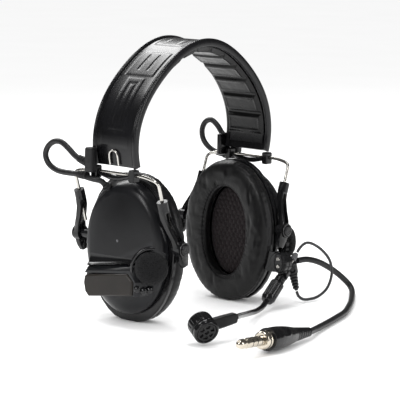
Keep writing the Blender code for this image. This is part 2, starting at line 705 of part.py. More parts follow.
def make_right_fittings():
    body = "cup_right"
    board = box("circuit_board", (-66.4, -23.0, 57.0), (-68.0, 14.0, 82.0), "board_green", body)
    chip = helper(box, "circuit_chip", (-66.6, -10.0, 63.0), (-64.8, 2.0, 75.0), None, body)
    join(board, chip)
    rod("battery_cell", CELL_CENTRE - CELL_SLOPE * 21.6, CELL_CENTRE + CELL_SLOPE * 21.6, CELL_RADIUS,
        "cell_grey", body, chamfer=0.5)
    add_body("battery_lid", body, LID_HINGE)
    rings = [lid_ring(-77.2, 1.0, 1.0), lid_ring(-80.5, 1.0, 1.0), lid_ring(-81.6, 0.95, 0.88)]
    loft(rings, "battery_lid", "lid_brown", "battery_lid")
    for name, place in BUTTON_PLACES.items():
        add_body(name, body, place)
        profile = [(0, 1.8), (1.1, 1.6), (BUTTON_RADIUS, 0.9), (BUTTON_RADIUS, -1.6), (0, -1.6)]
        turned(name, profile, place, BUTTON_AXIS, "rubber_black", name, steps=12)


# ---------------------------------------------------------------- left cup only

MIC_NECK_START = Vector((-54.0, -94.4, 15.4))
BOOM_ROUTE = [(34.1, -52.5, 6.9), (31.2, -52.9, 5.2), (24.6, -55.2, 4.0), (13.6, -59.4, 4.2),
              (1.0, -64.0, 5.5), (-12.3, -70.6, 7.6), (-26.0, -78.2, 10.2), (-40.0, -86.2, 12.9),
              (-52.5, -93.5, 15.1)]
CONNECTOR_TOP = Vector((72.0, -45.5, 31.0))
CONNECTOR_END = Vector((76.5, -48.5, 9.0))
MIC_LEAD_ROUTE = [(76.6, -48.6, 8.2), (78.0, -49.6, 4.4), (82.0, -51.4, 1.8), (88.0, -53.0, 1.5),
                  (95.5, -54.0, 2.2), (103.0, -56.0, 6.4), (107.5, -57.0, 13.0), (108.6, -57.4, 21.0),
                  (106.0, -56.6, 30.0), (99.0, -54.6, 37.8), (90.5, -53.0, 43.0), (83.0, -52.6, 45.2),
                  (77.6, -52.5, 44.5), (73.3, -52.5, 42.1), (70.75, -52.5, 39.75)]
GLAND_START = Vector((76.0, -34.6, 27.6))
GLAND_END = Vector((85.6, -40.2, 29.4))
DOWNLEAD_ROUTE = [(86.5, -40.8, 29.5), (96.5, -42.4, 29.4), (108.0, -44.4, 26.4), (120.0, -46.6, 20.6),
                  (130.5, -49.2, 13.6), (136.8, -53.4, 6.6), (134.0, -58.6, 3.2), (122.4, -67.4, 2.4),
                  (107.0, -77.8, 2.4), (91.8, -87.3, 2.4), (65.4, -101.5, 2.4), (42.0, -109.6, 2.4),
                  (18.6, -116.6, 2.5), (-1.0, -123.0, 3.2), (-13.4, -127.7, 4.4)]


def boom_point(distance):
    """A point on the boom's rod, measured up from the lower end of the clamp nut."""
    return BOOM_NUT_END + BOOM_UPWARD * distance


def make_boom():
    hinge = Vector((52.6, BOOM_AXIS_Y, BOOM_AXIS_Z))
    mount = rod("boom_mount", (48.4, hinge.y, hinge.z), (52.4, hinge.y, hinge.z), BOOM_DISC_RADIUS,
                "gloss_black", "cup_left", steps=20, chamfer=0.6)
    join(mount, helper(box, "mount_tab", (48.9, -48.0, 26.7), (51.9, -36.0, 41.7), None, "cup_left"))
    around = [oval(LEFT, x, CUP_Y, CUP_Z, CUP_HALF_WIDTH + 0.3, CUP_HALF_HEIGHT + 0.3) for x in (44, 62)]
    cut(mount, loft(around, "mount_clearance", None, "cup_left", collection=CUTTERS))

    add_body("boom_swivel", "cup_left", hinge)
    swivel = rod("boom_swivel", (52.7, hinge.y, hinge.z), (56.6, hinge.y, hinge.z), BOOM_DISC_RADIUS,
                 "gloss_black", "boom_swivel", steps=20, chamfer=0.6)
    collar = helper(rod, "swivel_collar", boom_point(24.0), boom_point(29.6), 4.3, None, "boom_swivel")
    join(swivel, collar)
    cut(swivel, helper(box, "collar_trim", (45.0, -60.0, 20.0), (52.7, -43.0, 45.0), None, "boom_swivel"))
    cut(swivel, helper(rod, "swivel_bore", boom_point(18.0), boom_point(40.0), BOOM_ROD_RADIUS + 0.15,
                       None, "boom_swivel"))

    add_body("clamp_nut", "boom_swivel", boom_point(23.6))
    nut = [(1.5, 23.6), (3.4, 23.6), (4.0, 22.8), (4.0, 18.6), (5.3, 17.4), (5.3, 3.0), (4.2, 0.0), (1.5, 0.0)]
    turned("clamp_nut", nut, BOOM_NUT_END, BOOM_UPWARD, "gloss_black", "clamp_nut", closed=True, steps=16)

    add_body("boom", "boom_swivel", boom_point(40.0))
    rod("boom_rod", boom_point(-0.1), boom_point(40.6), BOOM_ROD_RADIUS, "steel", "boom", steps=12)
    sleeve = [(0, 46.8), (1.6, 46.8), (2.3, 45.2), (2.3, 41.0), (0, 41.0)]
    turned("boom_sleeve", sleeve, BOOM_NUT_END, BOOM_UPWARD, "rubber_black", "boom", steps=12)
    tube("boom_tube", smooth_route(BOOM_ROUTE, 4.6), BOOM_TUBE_RADIUS, "gloss_black", "boom")
    make_mic_head()


def make_mic_head():
    half = MIC_THICKNESS / 2
    profile = [(0, half - 1.4), (7.2, half - 1.4), (7.6, half), (8.4, half), (MIC_RADIUS, half - 0.8),
               (MIC_RADIUS, 2.2), (MIC_RADIUS - 0.4, 1.9), (MIC_RADIUS - 0.4, 1.3), (MIC_RADIUS, 1.0),
               (MIC_RADIUS, 1.0 - half), (8.0, -half), (0, -half)]
    turned("mic_head", profile, MIC_CENTRE, MIC_NORMAL, "rubber_black", "boom", steps=22)
    grille = [(0, half - 0.4), (6.7, half - 0.4), (6.7, half - 1.1), (0, half - 1.1)]
    turned("mic_grille", grille, MIC_CENTRE, MIC_NORMAL, "gloss_black", "boom", steps=24)
    across = (MIC_CENTRE - MIC_NECK_START).normalized()
    side_way = across.cross(Vector((0, 0, 1))).normalized()
    rise = side_way.cross(across).normalized()
    rings = []
    for distance, half_high, half_deep in ((0.0, 2.8, 2.4), (1.0, 3.5, 2.8), (12.0, 3.9, 3.2), (24.0, 3.9, 3.2)):
        centre = MIC_NECK_START + across * distance
        rings.append([centre + rise * a * half_high + side_way * b * half_deep
                      for a, b in ((1, 0.7), (0.7, 1), (-0.7, 1), (-1, 0.7),
                                   (-1, -0.7), (-0.7, -1), (0.7, -1), (1, -0.7))])
    neck = loft(rings, "mic_neck", "rubber_black", "boom")
    cut(neck, helper(rod, "neck_clearance", MIC_CENTRE - MIC_NORMAL * 12, MIC_CENTRE + MIC_NORMAL * 12,
                     MIC_RADIUS + 0.3, None, "boom", steps=28))


def make_left_fittings():
    body = "cup_left"
    top, end = CONNECTOR_TOP, CONNECTOR_END
    length = (end - top).length
    profile = [(0, length), (3.4, length), (4.4, length - 1.2), (4.2, length - 9.0)]
    for i in range(4):
        high = length - 9.2 - i * 3.0
        profile += [(2.2 - 0.12 * i, high), (2.2 - 0.12 * i, high - 0.9),
                    (3.2 - 0.24 * i, high - 1.1), (3.2 - 0.24 * i, high - 2.8)]
    profile.append((0, high - 2.8))
    turned("mic_connector", profile, end, top - end, "rubber_black", body, steps=12)

    gland = [(0, 11.2), (2.7, 11.2), (3.2, 6.0), (3.9, 5.6), (3.9, 3.6), (3.2, 3.4), (3.2, 0), (0, 0)]
    turned("downlead_gland", gland, GLAND_START, GLAND_END - GLAND_START, "rubber_black", body, steps=12)
    tube("mic_lead", smooth_route(MIC_LEAD_ROUTE, 4.2), MIC_LEAD_RADIUS, "cable", body)
    tube("downlead", smooth_route(DOWNLEAD_ROUTE, 8.5), DOWNLEAD_RADIUS, "cable", body)
    make_plug(body)


def make_plug(body):
    """A relief, a moulded body, a metal collar and a ringed finger with four contacts."""
    ribs = []
    for i in range(5):
        near = 1.0 + i * 4.2
        radius = 3.0 + 0.35 * i
        ribs += [(near, radius), (near + 2.6, radius + 0.2), (near + 3.0, radius - 0.7), (near + 3.8, radius - 0.6)]
    shell = [(0, 56.0), (7.0, 56.0), (7.6, 54.5), (7.9, 46.0), (7.4, 38.0), (6.4, 29.0), (5.4, 22.4)]
    profile = shell + [(r, d) for d, r in reversed(ribs)] + [(2.6, 0.4), (0, 0.4)]
    origin = PLUG_START
    turned("plug_body", profile, origin, PLUG_DIRECTION, "rubber_black", body, steps=16)
    barrel = [(0, 63.5), (5.6, 63.5), (6.2, 62.6), (6.2, 56.3), (0, 56.3)]
    turned("plug_barrel", barrel, origin, PLUG_DIRECTION, "nickel", body, steps=18)
    finger = [(0, 92.0), (2.0, 91.6), (3.3, 88.6), (3.3, 84.5), (2.6, 83.6), (3.5, 82.6)]
    for start in (82.6, 77.0, 71.4):
        finger += [(3.5, start), (3.5, start - 4.4), (3.0, start - 4.5), (3.0, start - 5.5)]
    finger += [(3.5, 65.8), (3.5, 63.8), (0, 63.8)]
    tidy = [point for k, point in enumerate(finger) if k == 0 or point != finger[k - 1]]
    turned("plug_finger", tidy, origin, PLUG_DIRECTION, "nickel", body, steps=14)


def make_all():
    add_body("headphones", None, (0, 0, 0))
    make_headband()
    for side, word in SIDES:
        make_band_end(side, word)
        make_link(side, word)
        make_yoke(side, word)
        make_fork(side, word)
        make_cup(side, word)
    make_right_fittings()
    make_boom()
    make_left_fittings()


make_all()
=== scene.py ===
"""Looks of a folding two-way radio headset: materials, soft parts, cords, camera and light.

Every size and place is in the model's millimetres, which at() moves by BASE and scales to the
frame's metres. Lights and the materials' texture heights are in metres. X points to the wearer's
left, Y to the rear and Z up. A profile is a list of (radius, height) from an axis.
"""
import json
from math import atan2, copysign, cos, degrees, exp, hypot, pi, radians, sin, sqrt

import bmesh
import bpy
from mathutils import Matrix, Vector, noise


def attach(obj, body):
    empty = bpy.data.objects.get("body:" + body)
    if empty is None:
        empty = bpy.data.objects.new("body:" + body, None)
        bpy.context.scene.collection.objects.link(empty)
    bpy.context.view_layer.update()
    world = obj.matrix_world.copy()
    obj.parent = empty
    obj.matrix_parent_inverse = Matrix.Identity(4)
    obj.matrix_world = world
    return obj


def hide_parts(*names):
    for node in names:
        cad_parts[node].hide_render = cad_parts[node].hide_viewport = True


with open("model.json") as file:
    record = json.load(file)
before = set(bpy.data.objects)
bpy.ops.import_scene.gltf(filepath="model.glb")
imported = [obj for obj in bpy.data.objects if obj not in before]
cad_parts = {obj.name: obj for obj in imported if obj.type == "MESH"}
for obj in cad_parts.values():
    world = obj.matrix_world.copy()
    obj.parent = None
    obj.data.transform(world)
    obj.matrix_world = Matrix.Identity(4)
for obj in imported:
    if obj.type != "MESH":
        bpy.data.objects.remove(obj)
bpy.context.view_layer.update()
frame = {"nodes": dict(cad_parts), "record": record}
NODES = frame["nodes"]

MM = 0.001
BASE = Vector((2.83, 23.3, 0))
RIGHT, LEFT = -1, 1
SIDES = ((RIGHT, "right"), (LEFT, "left"))
ENDS = ((-1, "front"), (1, "rear"))


def at(*point):
    """A point of the model, in millimetres, as a place in the frame, in metres."""
    return (Vector(point) + BASE) * MM


def link(thing):
    bpy.context.scene.collection.objects.link(thing)


# ==== Camera and light

VIEW_AZIMUTH, VIEW_ELEVATION, VIEW_ROLL = -50.29, 8.75, 1.35
VIEW_DISTANCE = 1400.25
VIEW_TARGET = Vector((18.78, 0, 78.15))
VIEW_LENS = 170.4


def make_camera():
    """A long lens, a little above the floor, aimed past the headset's front right corner."""
    azimuth, elevation, roll = map(radians, (VIEW_AZIMUTH, VIEW_ELEVATION, VIEW_ROLL))
    away = Vector((sin(azimuth) * cos(elevation), -cos(azimuth) * cos(elevation),
                   sin(elevation)))
    side = (-away).cross(Vector((0, 0, 1))).normalized()
    rise = side.cross(-away).normalized()
    right = side * cos(roll) + rise * sin(roll)
    up = rise * cos(roll) - side * sin(roll)
    data = bpy.data.cameras.new("view")
    data.lens = VIEW_LENS
    data.sensor_width = 36.0
    data.clip_end = 20.0
    camera = bpy.data.objects.new("view", data)
    matrix = Matrix((right, up, away)).transposed().to_4x4()
    matrix.translation = at(*(VIEW_TARGET + away * VIEW_DISTANCE))
    camera.matrix_world = matrix
    link(camera)
    bpy.context.scene.camera = camera


def area_light(name, place, aim, size, power):
    data = bpy.data.lights.new(name, "AREA")
    data.shape = "RECTANGLE"
    data.size, data.size_y = size
    data.energy = power
    lamp = bpy.data.objects.new(name, data)
    place, aim = Vector(place), Vector(aim)
    lamp.rotation_euler = (aim - place).to_track_quat("-Z", "Y").to_euler()
    lamp.location = place
    link(lamp)


ROOM_WHITE, ROOM_IN_REFLECTIONS = 1.0, 0.10


def make_light():
    """Soft boxes in a white room, whose walls are dimmer in reflections."""
    scene = bpy.context.scene
    scene.view_settings.view_transform = "Standard"
    world = bpy.data.worlds.new("studio")
    world.use_nodes = True
    tree = world.node_tree
    path = tree.nodes.new("ShaderNodeLightPath")
    mix = tree.nodes.new("ShaderNodeMixShader")
    tree.links.new(path.outputs["Is Glossy Ray"], mix.inputs[0])
    walls = (tree.nodes["Background"], tree.nodes.new("ShaderNodeBackground"))
    for wall, socket, strength in zip(walls, mix.inputs[1:], (ROOM_WHITE, ROOM_IN_REFLECTIONS)):
        wall.inputs["Color"].default_value = (1, 1, 1, 1)
        wall.inputs["Strength"].default_value = strength
        tree.links.new(wall.outputs[0], socket)
    tree.links.new(mix.outputs[0], tree.nodes["World Output"].inputs["Surface"])
    scene.world = world
    area_light("key", (-0.95, -0.1, 0.7), (0, 0, 0.1), (0.15, 0.6), 4.6)
    area_light("front", (0.28, -1.1, 0.42), (0, 0, 0.08), (0.075, 0.7), 3.6)
    area_light("back", (0.25, 0.75, 0.85), (0, 0, 0.1), (1, 0.24), 7.5)
    area_light("top", (-0.05, -0.05, 1.1), (0, 0.02, 0.1), (0.16, 0.6), 2.6)


FLOOR_SIZE, FLOOR_DROP = 16.0, 0.0006


def make_floor():
    bpy.ops.mesh.primitive_plane_add(size=FLOOR_SIZE, location=(0, 0, -FLOOR_DROP))
    floor = bpy.context.object
    floor.name = "studio_floor"
    floor.data.materials.append(pale_floor())


# ==== Materials

class Nodes:
    """A short way to write a material's node tree."""

    def __init__(self, name):
        self.material = bpy.data.materials.new(name)
        self.material.use_nodes = True
        self.tree = self.material.node_tree
        self.shader = self.tree.nodes["Principled BSDF"]
        self.place = self.add("ShaderNodeTexCoord").outputs["Object"]

    def add(self, kind, **settings):
        node = self.tree.nodes.new(kind)
        for key, value in settings.items():
            if key in node.inputs:
                node.inputs[key].default_value = value
            else:
                setattr(node, key, value)
        return node

    def feed(self, socket, value):
        """Links a socket to another one, or sets it to a number or a colour."""
        if isinstance(value, bpy.types.NodeSocket):
            self.tree.links.new(value, socket)
        else:
            socket.default_value = (*value, 1.0) if isinstance(value, tuple) else value

    def stretched(self, scale):
        return self.texture("ShaderNodeMapping", "Vector", Scale=scale)

    def warped(self, scale, distance):
        """The place, pushed about by coloured noise."""
        wobble = self.texture("ShaderNodeTexNoise", "Color", Scale=scale, Detail=3.0)
        push = self.add("ShaderNodeVectorMath", operation="SCALE", Scale=distance)
        total = self.add("ShaderNodeVectorMath", operation="ADD")
        self.feed(push.inputs[0], wobble)
        self.feed(total.inputs[0], self.place)
        self.feed(total.inputs[1], push.outputs["Vector"])
        return total.outputs["Vector"]

    def texture(self, kind, output, vector=None, **settings):
        node = self.add(kind, **settings)
        self.feed(node.inputs["Vector"], vector or self.place)
        return node.outputs[output]

    def noise(self, scale, detail=4.0, rough=0.55, vector=None):
        return self.texture("ShaderNodeTexNoise", "Fac", vector, Scale=scale, Detail=detail, Roughness=rough)

    def cells(self, scale, feature="F1", vector=None):
        return self.texture("ShaderNodeTexVoronoi", "Distance", vector, feature=feature, Scale=scale)

    def ramp(self, value, low, high, colour_low, colour_high):
        node = self.add("ShaderNodeValToRGB")
        for end, position, colour in zip(node.color_ramp.elements, (low, high), (colour_low, colour_high)):
            end.position = position
            end.color = (*colour, 1.0)
        self.feed(node.inputs["Fac"], value)
        return node.outputs["Color"]

    def spread(self, value, low, high, start=0.0, stop=1.0):
        """The value, from low at start to high at stop."""
        node = self.add("ShaderNodeMapRange")
        for key, number in (("From Min", start), ("From Max", stop), ("To Min", low), ("To Max", high)):
            node.inputs[key].default_value = number
        self.feed(node.inputs["Value"], value)
        return node.outputs["Result"]

    def mix(self, share, a, b, mode="MIX"):
        node = self.add("ShaderNodeMix", data_type="RGBA", blend_type=mode)
        for index, value in ((0, share), (6, a), (7, b)):
            self.feed(node.inputs[index], value)
        return node.outputs[2]

    def product(self, a, b):
        node = self.add("ShaderNodeMath", operation="MULTIPLY")
        self.feed(node.inputs[0], a)
        self.feed(node.inputs[1], b)
        return node.outputs["Value"]

    def bump(self, height, strength, distance):
        """Bumps on top of those already there."""
        node = self.add("ShaderNodeBump", Strength=strength, Distance=distance)
        self.feed(node.inputs["Height"], height)
        last = self.shader.inputs["Normal"]
        if last.is_linked:
            self.feed(node.inputs["Normal"], last.links[0].from_socket)
        self.feed(last, node.outputs["Normal"])

    def colour(self, value):
        self.feed(self.shader.inputs["Base Color"], value)

    def rough(self, value):
        self.feed(self.shader.inputs["Roughness"], value)

    def finish(self, **values):
        for key, value in values.items():
            self.shader.inputs[key.replace("_", " ")].default_value = value
        return self.material


def pale_floor():
    n = Nodes("pale_floor")
    n.colour(n.ramp(n.noise(6.0, 3.0), 0.3, 0.7, (0.9259, 0.9259, 0.9259), (0.94, 0.94, 0.94)))
    return n.finish(Roughness=0.9, Specular_IOR_Level=0.0)


def moulded(name, dark, light, rough_low, rough_high, grain=2600.0, grain_height=0.00003, coat=0.0,
            edge=None):
    """Injection-moulded plastic: fine spark grain, faint flow clouds and lighter edges, worn by handling; on
    the lid, whose edge colour is brighter, the edges are also a painted highlight.
    """
    n = Nodes(name)
    cloud = n.noise(38.0, 5.0)
    base = n.ramp(cloud, 0.32, 0.70, dark, light)
    convex = n.spread(n.add("ShaderNodeNewGeometry").outputs["Pointiness"], 0.0, 1.0, 0.52, 0.60)
    # Patchy lighter colour on convex edges: handling wear, and with the lid's bright edge colour also a
    # painted highlight line.
    edge_wear_and_highlight = n.product(convex, n.spread(n.noise(140.0, 3.0), 0.1, 0.9))
    n.colour(n.mix(edge_wear_and_highlight, base, edge or tuple(c * 2.0 + 0.004 for c in light)))
    speck = n.noise(900.0, 3.0)
    n.rough(n.spread(n.mix(0.5, cloud, speck), rough_low, rough_high))
    n.bump(n.noise(grain, 2.0), 0.35, grain_height)
    n.bump(n.cells(grain * 0.62), 0.25, grain_height)
    return n.finish(Specular_IOR_Level=0.26, Coat_Weight=coat, Coat_Roughness=0.12)


def leather(name, rough_low=0.27, rough_high=0.44, pebble_height=0.45):
    """Leatherette: pebbled cells with painted shade in the grooves between them, fine creases and soft uneven
    gloss.
    """
    n = Nodes(name)
    warped = n.warped(260.0, 0.0012)
    pebble = n.cells(1150.0, "DISTANCE_TO_EDGE", warped)
    crease = n.cells(190.0, "DISTANCE_TO_EDGE", warped)
    tone = n.noise(30.0, 5.0)
    base = n.ramp(tone, 0.30, 0.72, (0.0026, 0.0025, 0.0028), (0.0062, 0.006, 0.0065))
    # Painted shade: the grooves between the pebbles are darkened in the colour.
    painted_groove_shade = n.ramp(pebble, 0.0, 0.16, (0.45, 0.45, 0.45), (1, 1, 1))
    n.colour(n.mix(1.0, base, painted_groove_shade, "MULTIPLY"))
    n.rough(n.spread(n.noise(75.0, 4.0), rough_low, rough_high))
    n.bump(n.ramp(pebble, 0.0, 0.20, (0, 0, 0), (1, 1, 1)), pebble_height, 0.00008)
    n.bump(n.ramp(crease, 0.0, 0.05, (0, 0, 0), (1, 1, 1)), 0.12, 0.00012)
    n.bump(n.noise(60.0, 4.0), 0.25, 0.0006)
    return n.finish(Specular_IOR_Level=0.24, Sheen_Weight=0.03, Sheen_Roughness=0.4, Coat_Weight=0.06,
                    Coat_Roughness=0.2)


def open_foam(name, dark, light, scale, height):
    """Open-cell foam: a net of pores over a soft matte ground, with painted shade darkening the inside of each
    pore.
    """
    n = Nodes(name)
    pores = n.cells(scale, "DISTANCE_TO_EDGE")
    fuzz = n.noise(scale * 1.7, 4.0)
    # Painted shade: the sunken pores are dark and the struts between them light.
    painted_pore_shade = n.ramp(pores, 0.02, 0.26, light, dark)
    n.colour(n.mix(n.spread(fuzz, 0.0, 0.7), painted_pore_shade, dark))
    n.rough(n.spread(fuzz, 0.85, 1.0))
    n.bump(n.ramp(pores, 0.0, 0.3, (1, 1, 1), (0, 0, 0)), 0.8, height)
    n.bump(n.noise(scale * 0.35, 4.0), 0.5, height)
    return n.finish(Specular_IOR_Level=0.12, Sheen_Weight=0.05, Sheen_Roughness=0.6)


def metal(name, dark, light, rough_low, rough_high, scale=(900, 900, 60)):
    """Bright drawn or turned metal with fine scratches along one direction."""
    n = Nodes(name)
    scratch = n.noise(1.0, 5.0, 0.6, n.stretched(scale))
    tarnish = n.noise(110.0, 4.0)
    n.colour(n.mix(n.spread(tarnish, 0.0, 0.8), light, dark))
    n.rough(n.spread(n.mix(0.5, scratch, tarnish), rough_low, rough_high))
    n.bump(scratch, 0.2, 0.00003)
    return n.finish(Metallic=1.0)


def cord_jacket(name, dark, light):
    """A cord's jacket: satin, with a faint drawn texture and handling marks."""
    n = Nodes(name)
    marks = n.noise(240.0, 5.0)
    n.colour(n.ramp(marks, 0.3, 0.75, dark, light))
    n.rough(n.spread(n.noise(520.0, 3.0), 0.34, 0.52))
    n.bump(n.noise(1800.0, 3.0), 0.25, 0.00004)
    n.bump(marks, 0.15, 0.00012)
    return n.finish(Specular_IOR_Level=0.3, Coat_Weight=0.04, Coat_Roughness=0.3)


def board(name):
    """Solder mask with copper traces under it."""
    n = Nodes(name)
    traces = n.cells(420.0, "DISTANCE_TO_EDGE")
    n.colour(n.ramp(traces, 0.03, 0.07, (0.05, 0.22, 0.09), (0.012, 0.075, 0.03)))
    n.rough(n.spread(n.noise(300.0), 0.28, 0.4))
    n.bump(traces, 0.2, 0.00004)
    return n.finish(Coat_Weight=0.3, Coat_Roughness=0.15)


SKIN = {
    "band": moulded("band_plastic", (0.003, 0.003, 0.0035), (0.006, 0.006, 0.007), 0.21, 0.31, coat=0.08,
                    grain_height=0.000008),
    "piping": moulded("band_rim", (0.0045, 0.0045, 0.005), (0.008, 0.008, 0.0088), 0.12, 0.22, coat=0.25,
                      grain_height=0.000012),
    "shell": moulded("cup_plastic", (0.0034, 0.0035, 0.0041), (0.0064, 0.0066, 0.0077), 0.24, 0.36, coat=0.03),
    "shell_gloss": moulded("cup_edge_gloss", (0.0036, 0.0036, 0.004), (0.0066, 0.0066, 0.0074), 0.15, 0.28,
                           coat=0.3, grain_height=0.000012),
    "gloss": moulded("gloss_plastic", (0.003, 0.003, 0.0033), (0.006, 0.006, 0.0066), 0.14, 0.26, coat=0.10,
                     grain_height=0.000015),
    "rubber": moulded("soft_rubber", (0.0042, 0.0042, 0.0046), (0.0082, 0.0082, 0.0088), 0.44, 0.62,
                      grain=1900.0, grain_height=0.00005),
    # The lid's edge colour is a painted highlight: a light line along its edges, over the patchy handling
    # wear.
    "lid": moulded("lid_plastic", (0.0062, 0.0049, 0.004), (0.0125, 0.01, 0.0082), 0.30, 0.42,
                   edge=(0.06, 0.05, 0.042)),
    "leather": leather("ear_leatherette"),
    "pad": leather("band_leatherette", 0.22, 0.36, 0.25),
    "foam": open_foam("windscreen_foam", (0.002, 0.002, 0.0022), (0.012, 0.012, 0.013), 760.0, 0.00035),
    "liner": open_foam("liner_foam", (0.004, 0.0032, 0.0035), (0.04, 0.031, 0.033), 1300.0, 0.00018),
    "steel": metal("spring_steel", (0.34, 0.33, 0.31), (0.66, 0.64, 0.6), 0.14, 0.34),
    "nickel": metal("plug_nickel", (0.42, 0.37, 0.3), (0.74, 0.68, 0.58), 0.14, 0.30, (300, 2400, 2400)),
    "cord": cord_jacket("cord_jacket", (0.006, 0.006, 0.0066), (0.015, 0.015, 0.016)),
    "thin_cord": cord_jacket("thin_cord_jacket", (0.018, 0.0185, 0.02), (0.036, 0.037, 0.04)),
    "grey": moulded("grey_shrink_tube", (0.05, 0.05, 0.053), (0.085, 0.085, 0.09), 0.34, 0.50),
    "cell": metal("cell_sleeve", (0.28, 0.29, 0.31), (0.5, 0.51, 0.54), 0.30, 0.45),
    "board": board("circuit_board_mask"),
}
SLOT_SKIN = {
    "moulded_black": "band", "gloss_black": "gloss", "shell_black": "shell", "leatherette": "leather",
    "liner": "liner", "foam": "foam", "rubber_black": "rubber", "cable": "cord", "steel": "steel",
    "nickel": "nickel", "lid_brown": "lid", "cell_grey": "cell", "board_green": "board",
}
NODE_SLOT = {row["node"]: row["material_slot"] for row in frame["record"]["subparts"]}
NODE_BODY = {node: body for body, nodes in frame["record"]["behaviour"]["bodies"].items() for node in nodes}


# ==== Pieces

def place_piece(name, data, skin, body, replaced=()):
    """Links a new piece to the scene, with its skin and its body, and hides the CAD nodes it stands for."""
    data.name = name
    piece = bpy.data.objects.new(name, data)
    link(piece)
    data.materials.append(SKIN[skin])
    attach(piece, body)
    if replaced:
        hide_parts(*replaced)
    return piece


def stand_in(name, data, skin, node):
    """A finer piece in place of a CAD node, on the node's body."""
    return place_piece(name, data, skin, NODE_BODY[node], (node,))


def smooth(data, sharp):
    """Turns the faces outward and shades them smooth but for the edges sharper than the angle."""
    bm = bmesh.new()
    bm.from_mesh(data)
    bmesh.ops.recalc_face_normals(bm, faces=bm.faces)
    bm.to_mesh(data)
    bm.free()
    data.shade_smooth()
    data.set_sharp_from_angle(angle=radians(sharp))
    return data


def mesh_from(rings, faces, sharp):
    data = bpy.data.meshes.new("piece")
    data.from_pydata([tuple(at(*p)) for ring in rings for p in ring], [], faces)
    return smooth(data, sharp)


def quads(spans, count, size, around):
    """Faces between rings that follow each other, the last one wrapping round to the first."""
    faces = []
    for k in range(spans):
        low, high = k * count, ((k + 1) % size) * count
        for i in range(around):
            j = (i + 1) % count
            faces.append((low + i, low + j, high + j, high + i))
    return faces


def circle(steps):
    return [2 * pi * i / steps for i in range(steps)]


def loft(rings, closed_along=False, sharp=38.0):
    """A skin over rings of equal count, each ring closed on itself."""
    size, count = len(rings), len(rings[0])
    faces = quads(size if closed_along else size - 1, count, size, count)
    if not closed_along:
        faces.append(tuple(reversed(range(count))))
        faces.append(tuple(range((size - 1) * count, size * count)))
    return mesh_from(rings, faces, sharp)


def turned(profile, origin, direction, steps=48, ripple=None, closed=False, sharp=38.0):
    """A profile turned about a direction. Ripple adds to the radius by angle, height and radius."""
    direction = Vector(direction).normalized()
    turn = direction.to_track_quat("Z", "Y")
    rings = []
    for angle in circle(steps):
        ring = []
        for radius, height in profile:
            r = max(radius + (ripple(angle, height, radius) if ripple else 0.0), 0.004)
            ring.append(Vector(origin) + turn @ Vector((r * cos(angle), r * sin(angle), height)))
        rings.append(ring)
    count = len(profile)
    faces = quads(steps, count, steps, count if closed else count - 1)
    if not closed:
        faces.append(tuple(k * count for k in range(steps)))
        faces.append(tuple(k * count + count - 1 for k in reversed(range(steps))))
    return mesh_from(rings, faces, sharp)


REFINED_SHARP = 30.0


def refined(node, width, skin=None):
    """A CAD node with rounded edges and smooth curves, standing for the faceted one."""
    data = NODES[node].data.copy()
    data.materials.clear()
    bm = bmesh.new()
    bm.from_mesh(data)
    bmesh.ops.remove_doubles(bm, verts=bm.verts, dist=0.00002)
    bmesh.ops.dissolve_limit(bm, angle_limit=radians(1.2), verts=bm.verts, edges=bm.edges)
    bm.to_mesh(data)
    bm.free()
    smooth(data, REFINED_SHARP)
    piece = place_piece(f"{node}_fine", data, skin or SLOT_SKIN[NODE_SLOT[node]], NODE_BODY[node],
                        (node,))
    if width:
        bevel = piece.modifiers.new("rounded_edges", "BEVEL")
        bevel.width = width * MM
        bevel.segments = 2
        bevel.limit_method = "ANGLE"
        bevel.angle_limit = radians(REFINED_SHARP)
        bevel.harden_normals = True
        bevel.use_clamp_overlap = True


def catmull(points, t):
    """A point on the smooth curve through the points, with t from 0 to the last index."""
    i = min(int(t), len(points) - 2)
    u = t - i
    p1, p2 = points[i], points[i + 1]
    p0 = points[i - 1] if i > 0 else p1 * 2 - p2
    p3 = points[i + 2] if i + 2 < len(points) else p2 * 2 - p1
    linear = (p2 - p0) * u
    square = (p0 * 2 - p1 * 5 + p2 * 4 - p3) * u * u
    cube = (p1 * 3 - p0 - p2 * 3 + p3) * u ** 3
    return p1 + (linear + square + cube) * 0.5


def smooth_route(points, spacing):
    """Points an even distance apart along the smooth curve through the route's points."""
    points = [Vector(p) for p in points]
    fine = [catmull(points, i / 40) for i in range(40 * (len(points) - 1) + 1)]
    lengths = [0.0]
    for a, b in zip(fine, fine[1:]):
        lengths.append(lengths[-1] + (b - a).length)
    count = max(2, round(lengths[-1] / spacing))
    route = []
    k = 0
    for n in range(count + 1):
        want = lengths[-1] * n / count
        while k < len(fine) - 2 and lengths[k + 1] < want:
            k += 1
        gap = lengths[k + 1] - lengths[k]
        route.append(fine[k].lerp(fine[k + 1], (want - lengths[k]) / gap if gap else 0.0))
    return route


def tube(name, route, radius, skin, node, sides=5):
    """A round tube along a route in place of a CAD node, as a curve with filled caps."""
    curve = bpy.data.curves.new(name, "CURVE")
    curve.dimensions = "3D"
    curve.bevel_depth = radius * MM
    curve.bevel_resolution = sides
    curve.use_fill_caps = True
    spline = curve.splines.new("POLY")
    spline.points.add(len(route) - 1)
    for point, place in zip(spline.points, route):
        point.co = (*at(*place), 1.0)
    spline.use_smooth = True
    return stand_in(name, curve, skin, node)


def sweep(line, section, closed=False, side=Vector((0, 1, 0))):
    """Sweeps a closed section of (across, out) along a line, with across as near the side as it can be."""
    rings = []
    size = len(line)
    for i, point in enumerate(line):
        before = line[(i - 1) % size] if closed or i > 0 else line[i]
        after = line[(i + 1) % size] if closed or i < size - 1 else line[i]
        along = (after - before).normalized()
        across = (side - along * side.dot(along)).normalized()
        out = along.cross(across)
        rings.append([point + across * a + out * b for a, b in section])
    return loft(rings, closed_along=closed)


def round_section(radius, sides):
    return [(radius * cos(angle), radius * sin(angle)) for angle in circle(sides)]


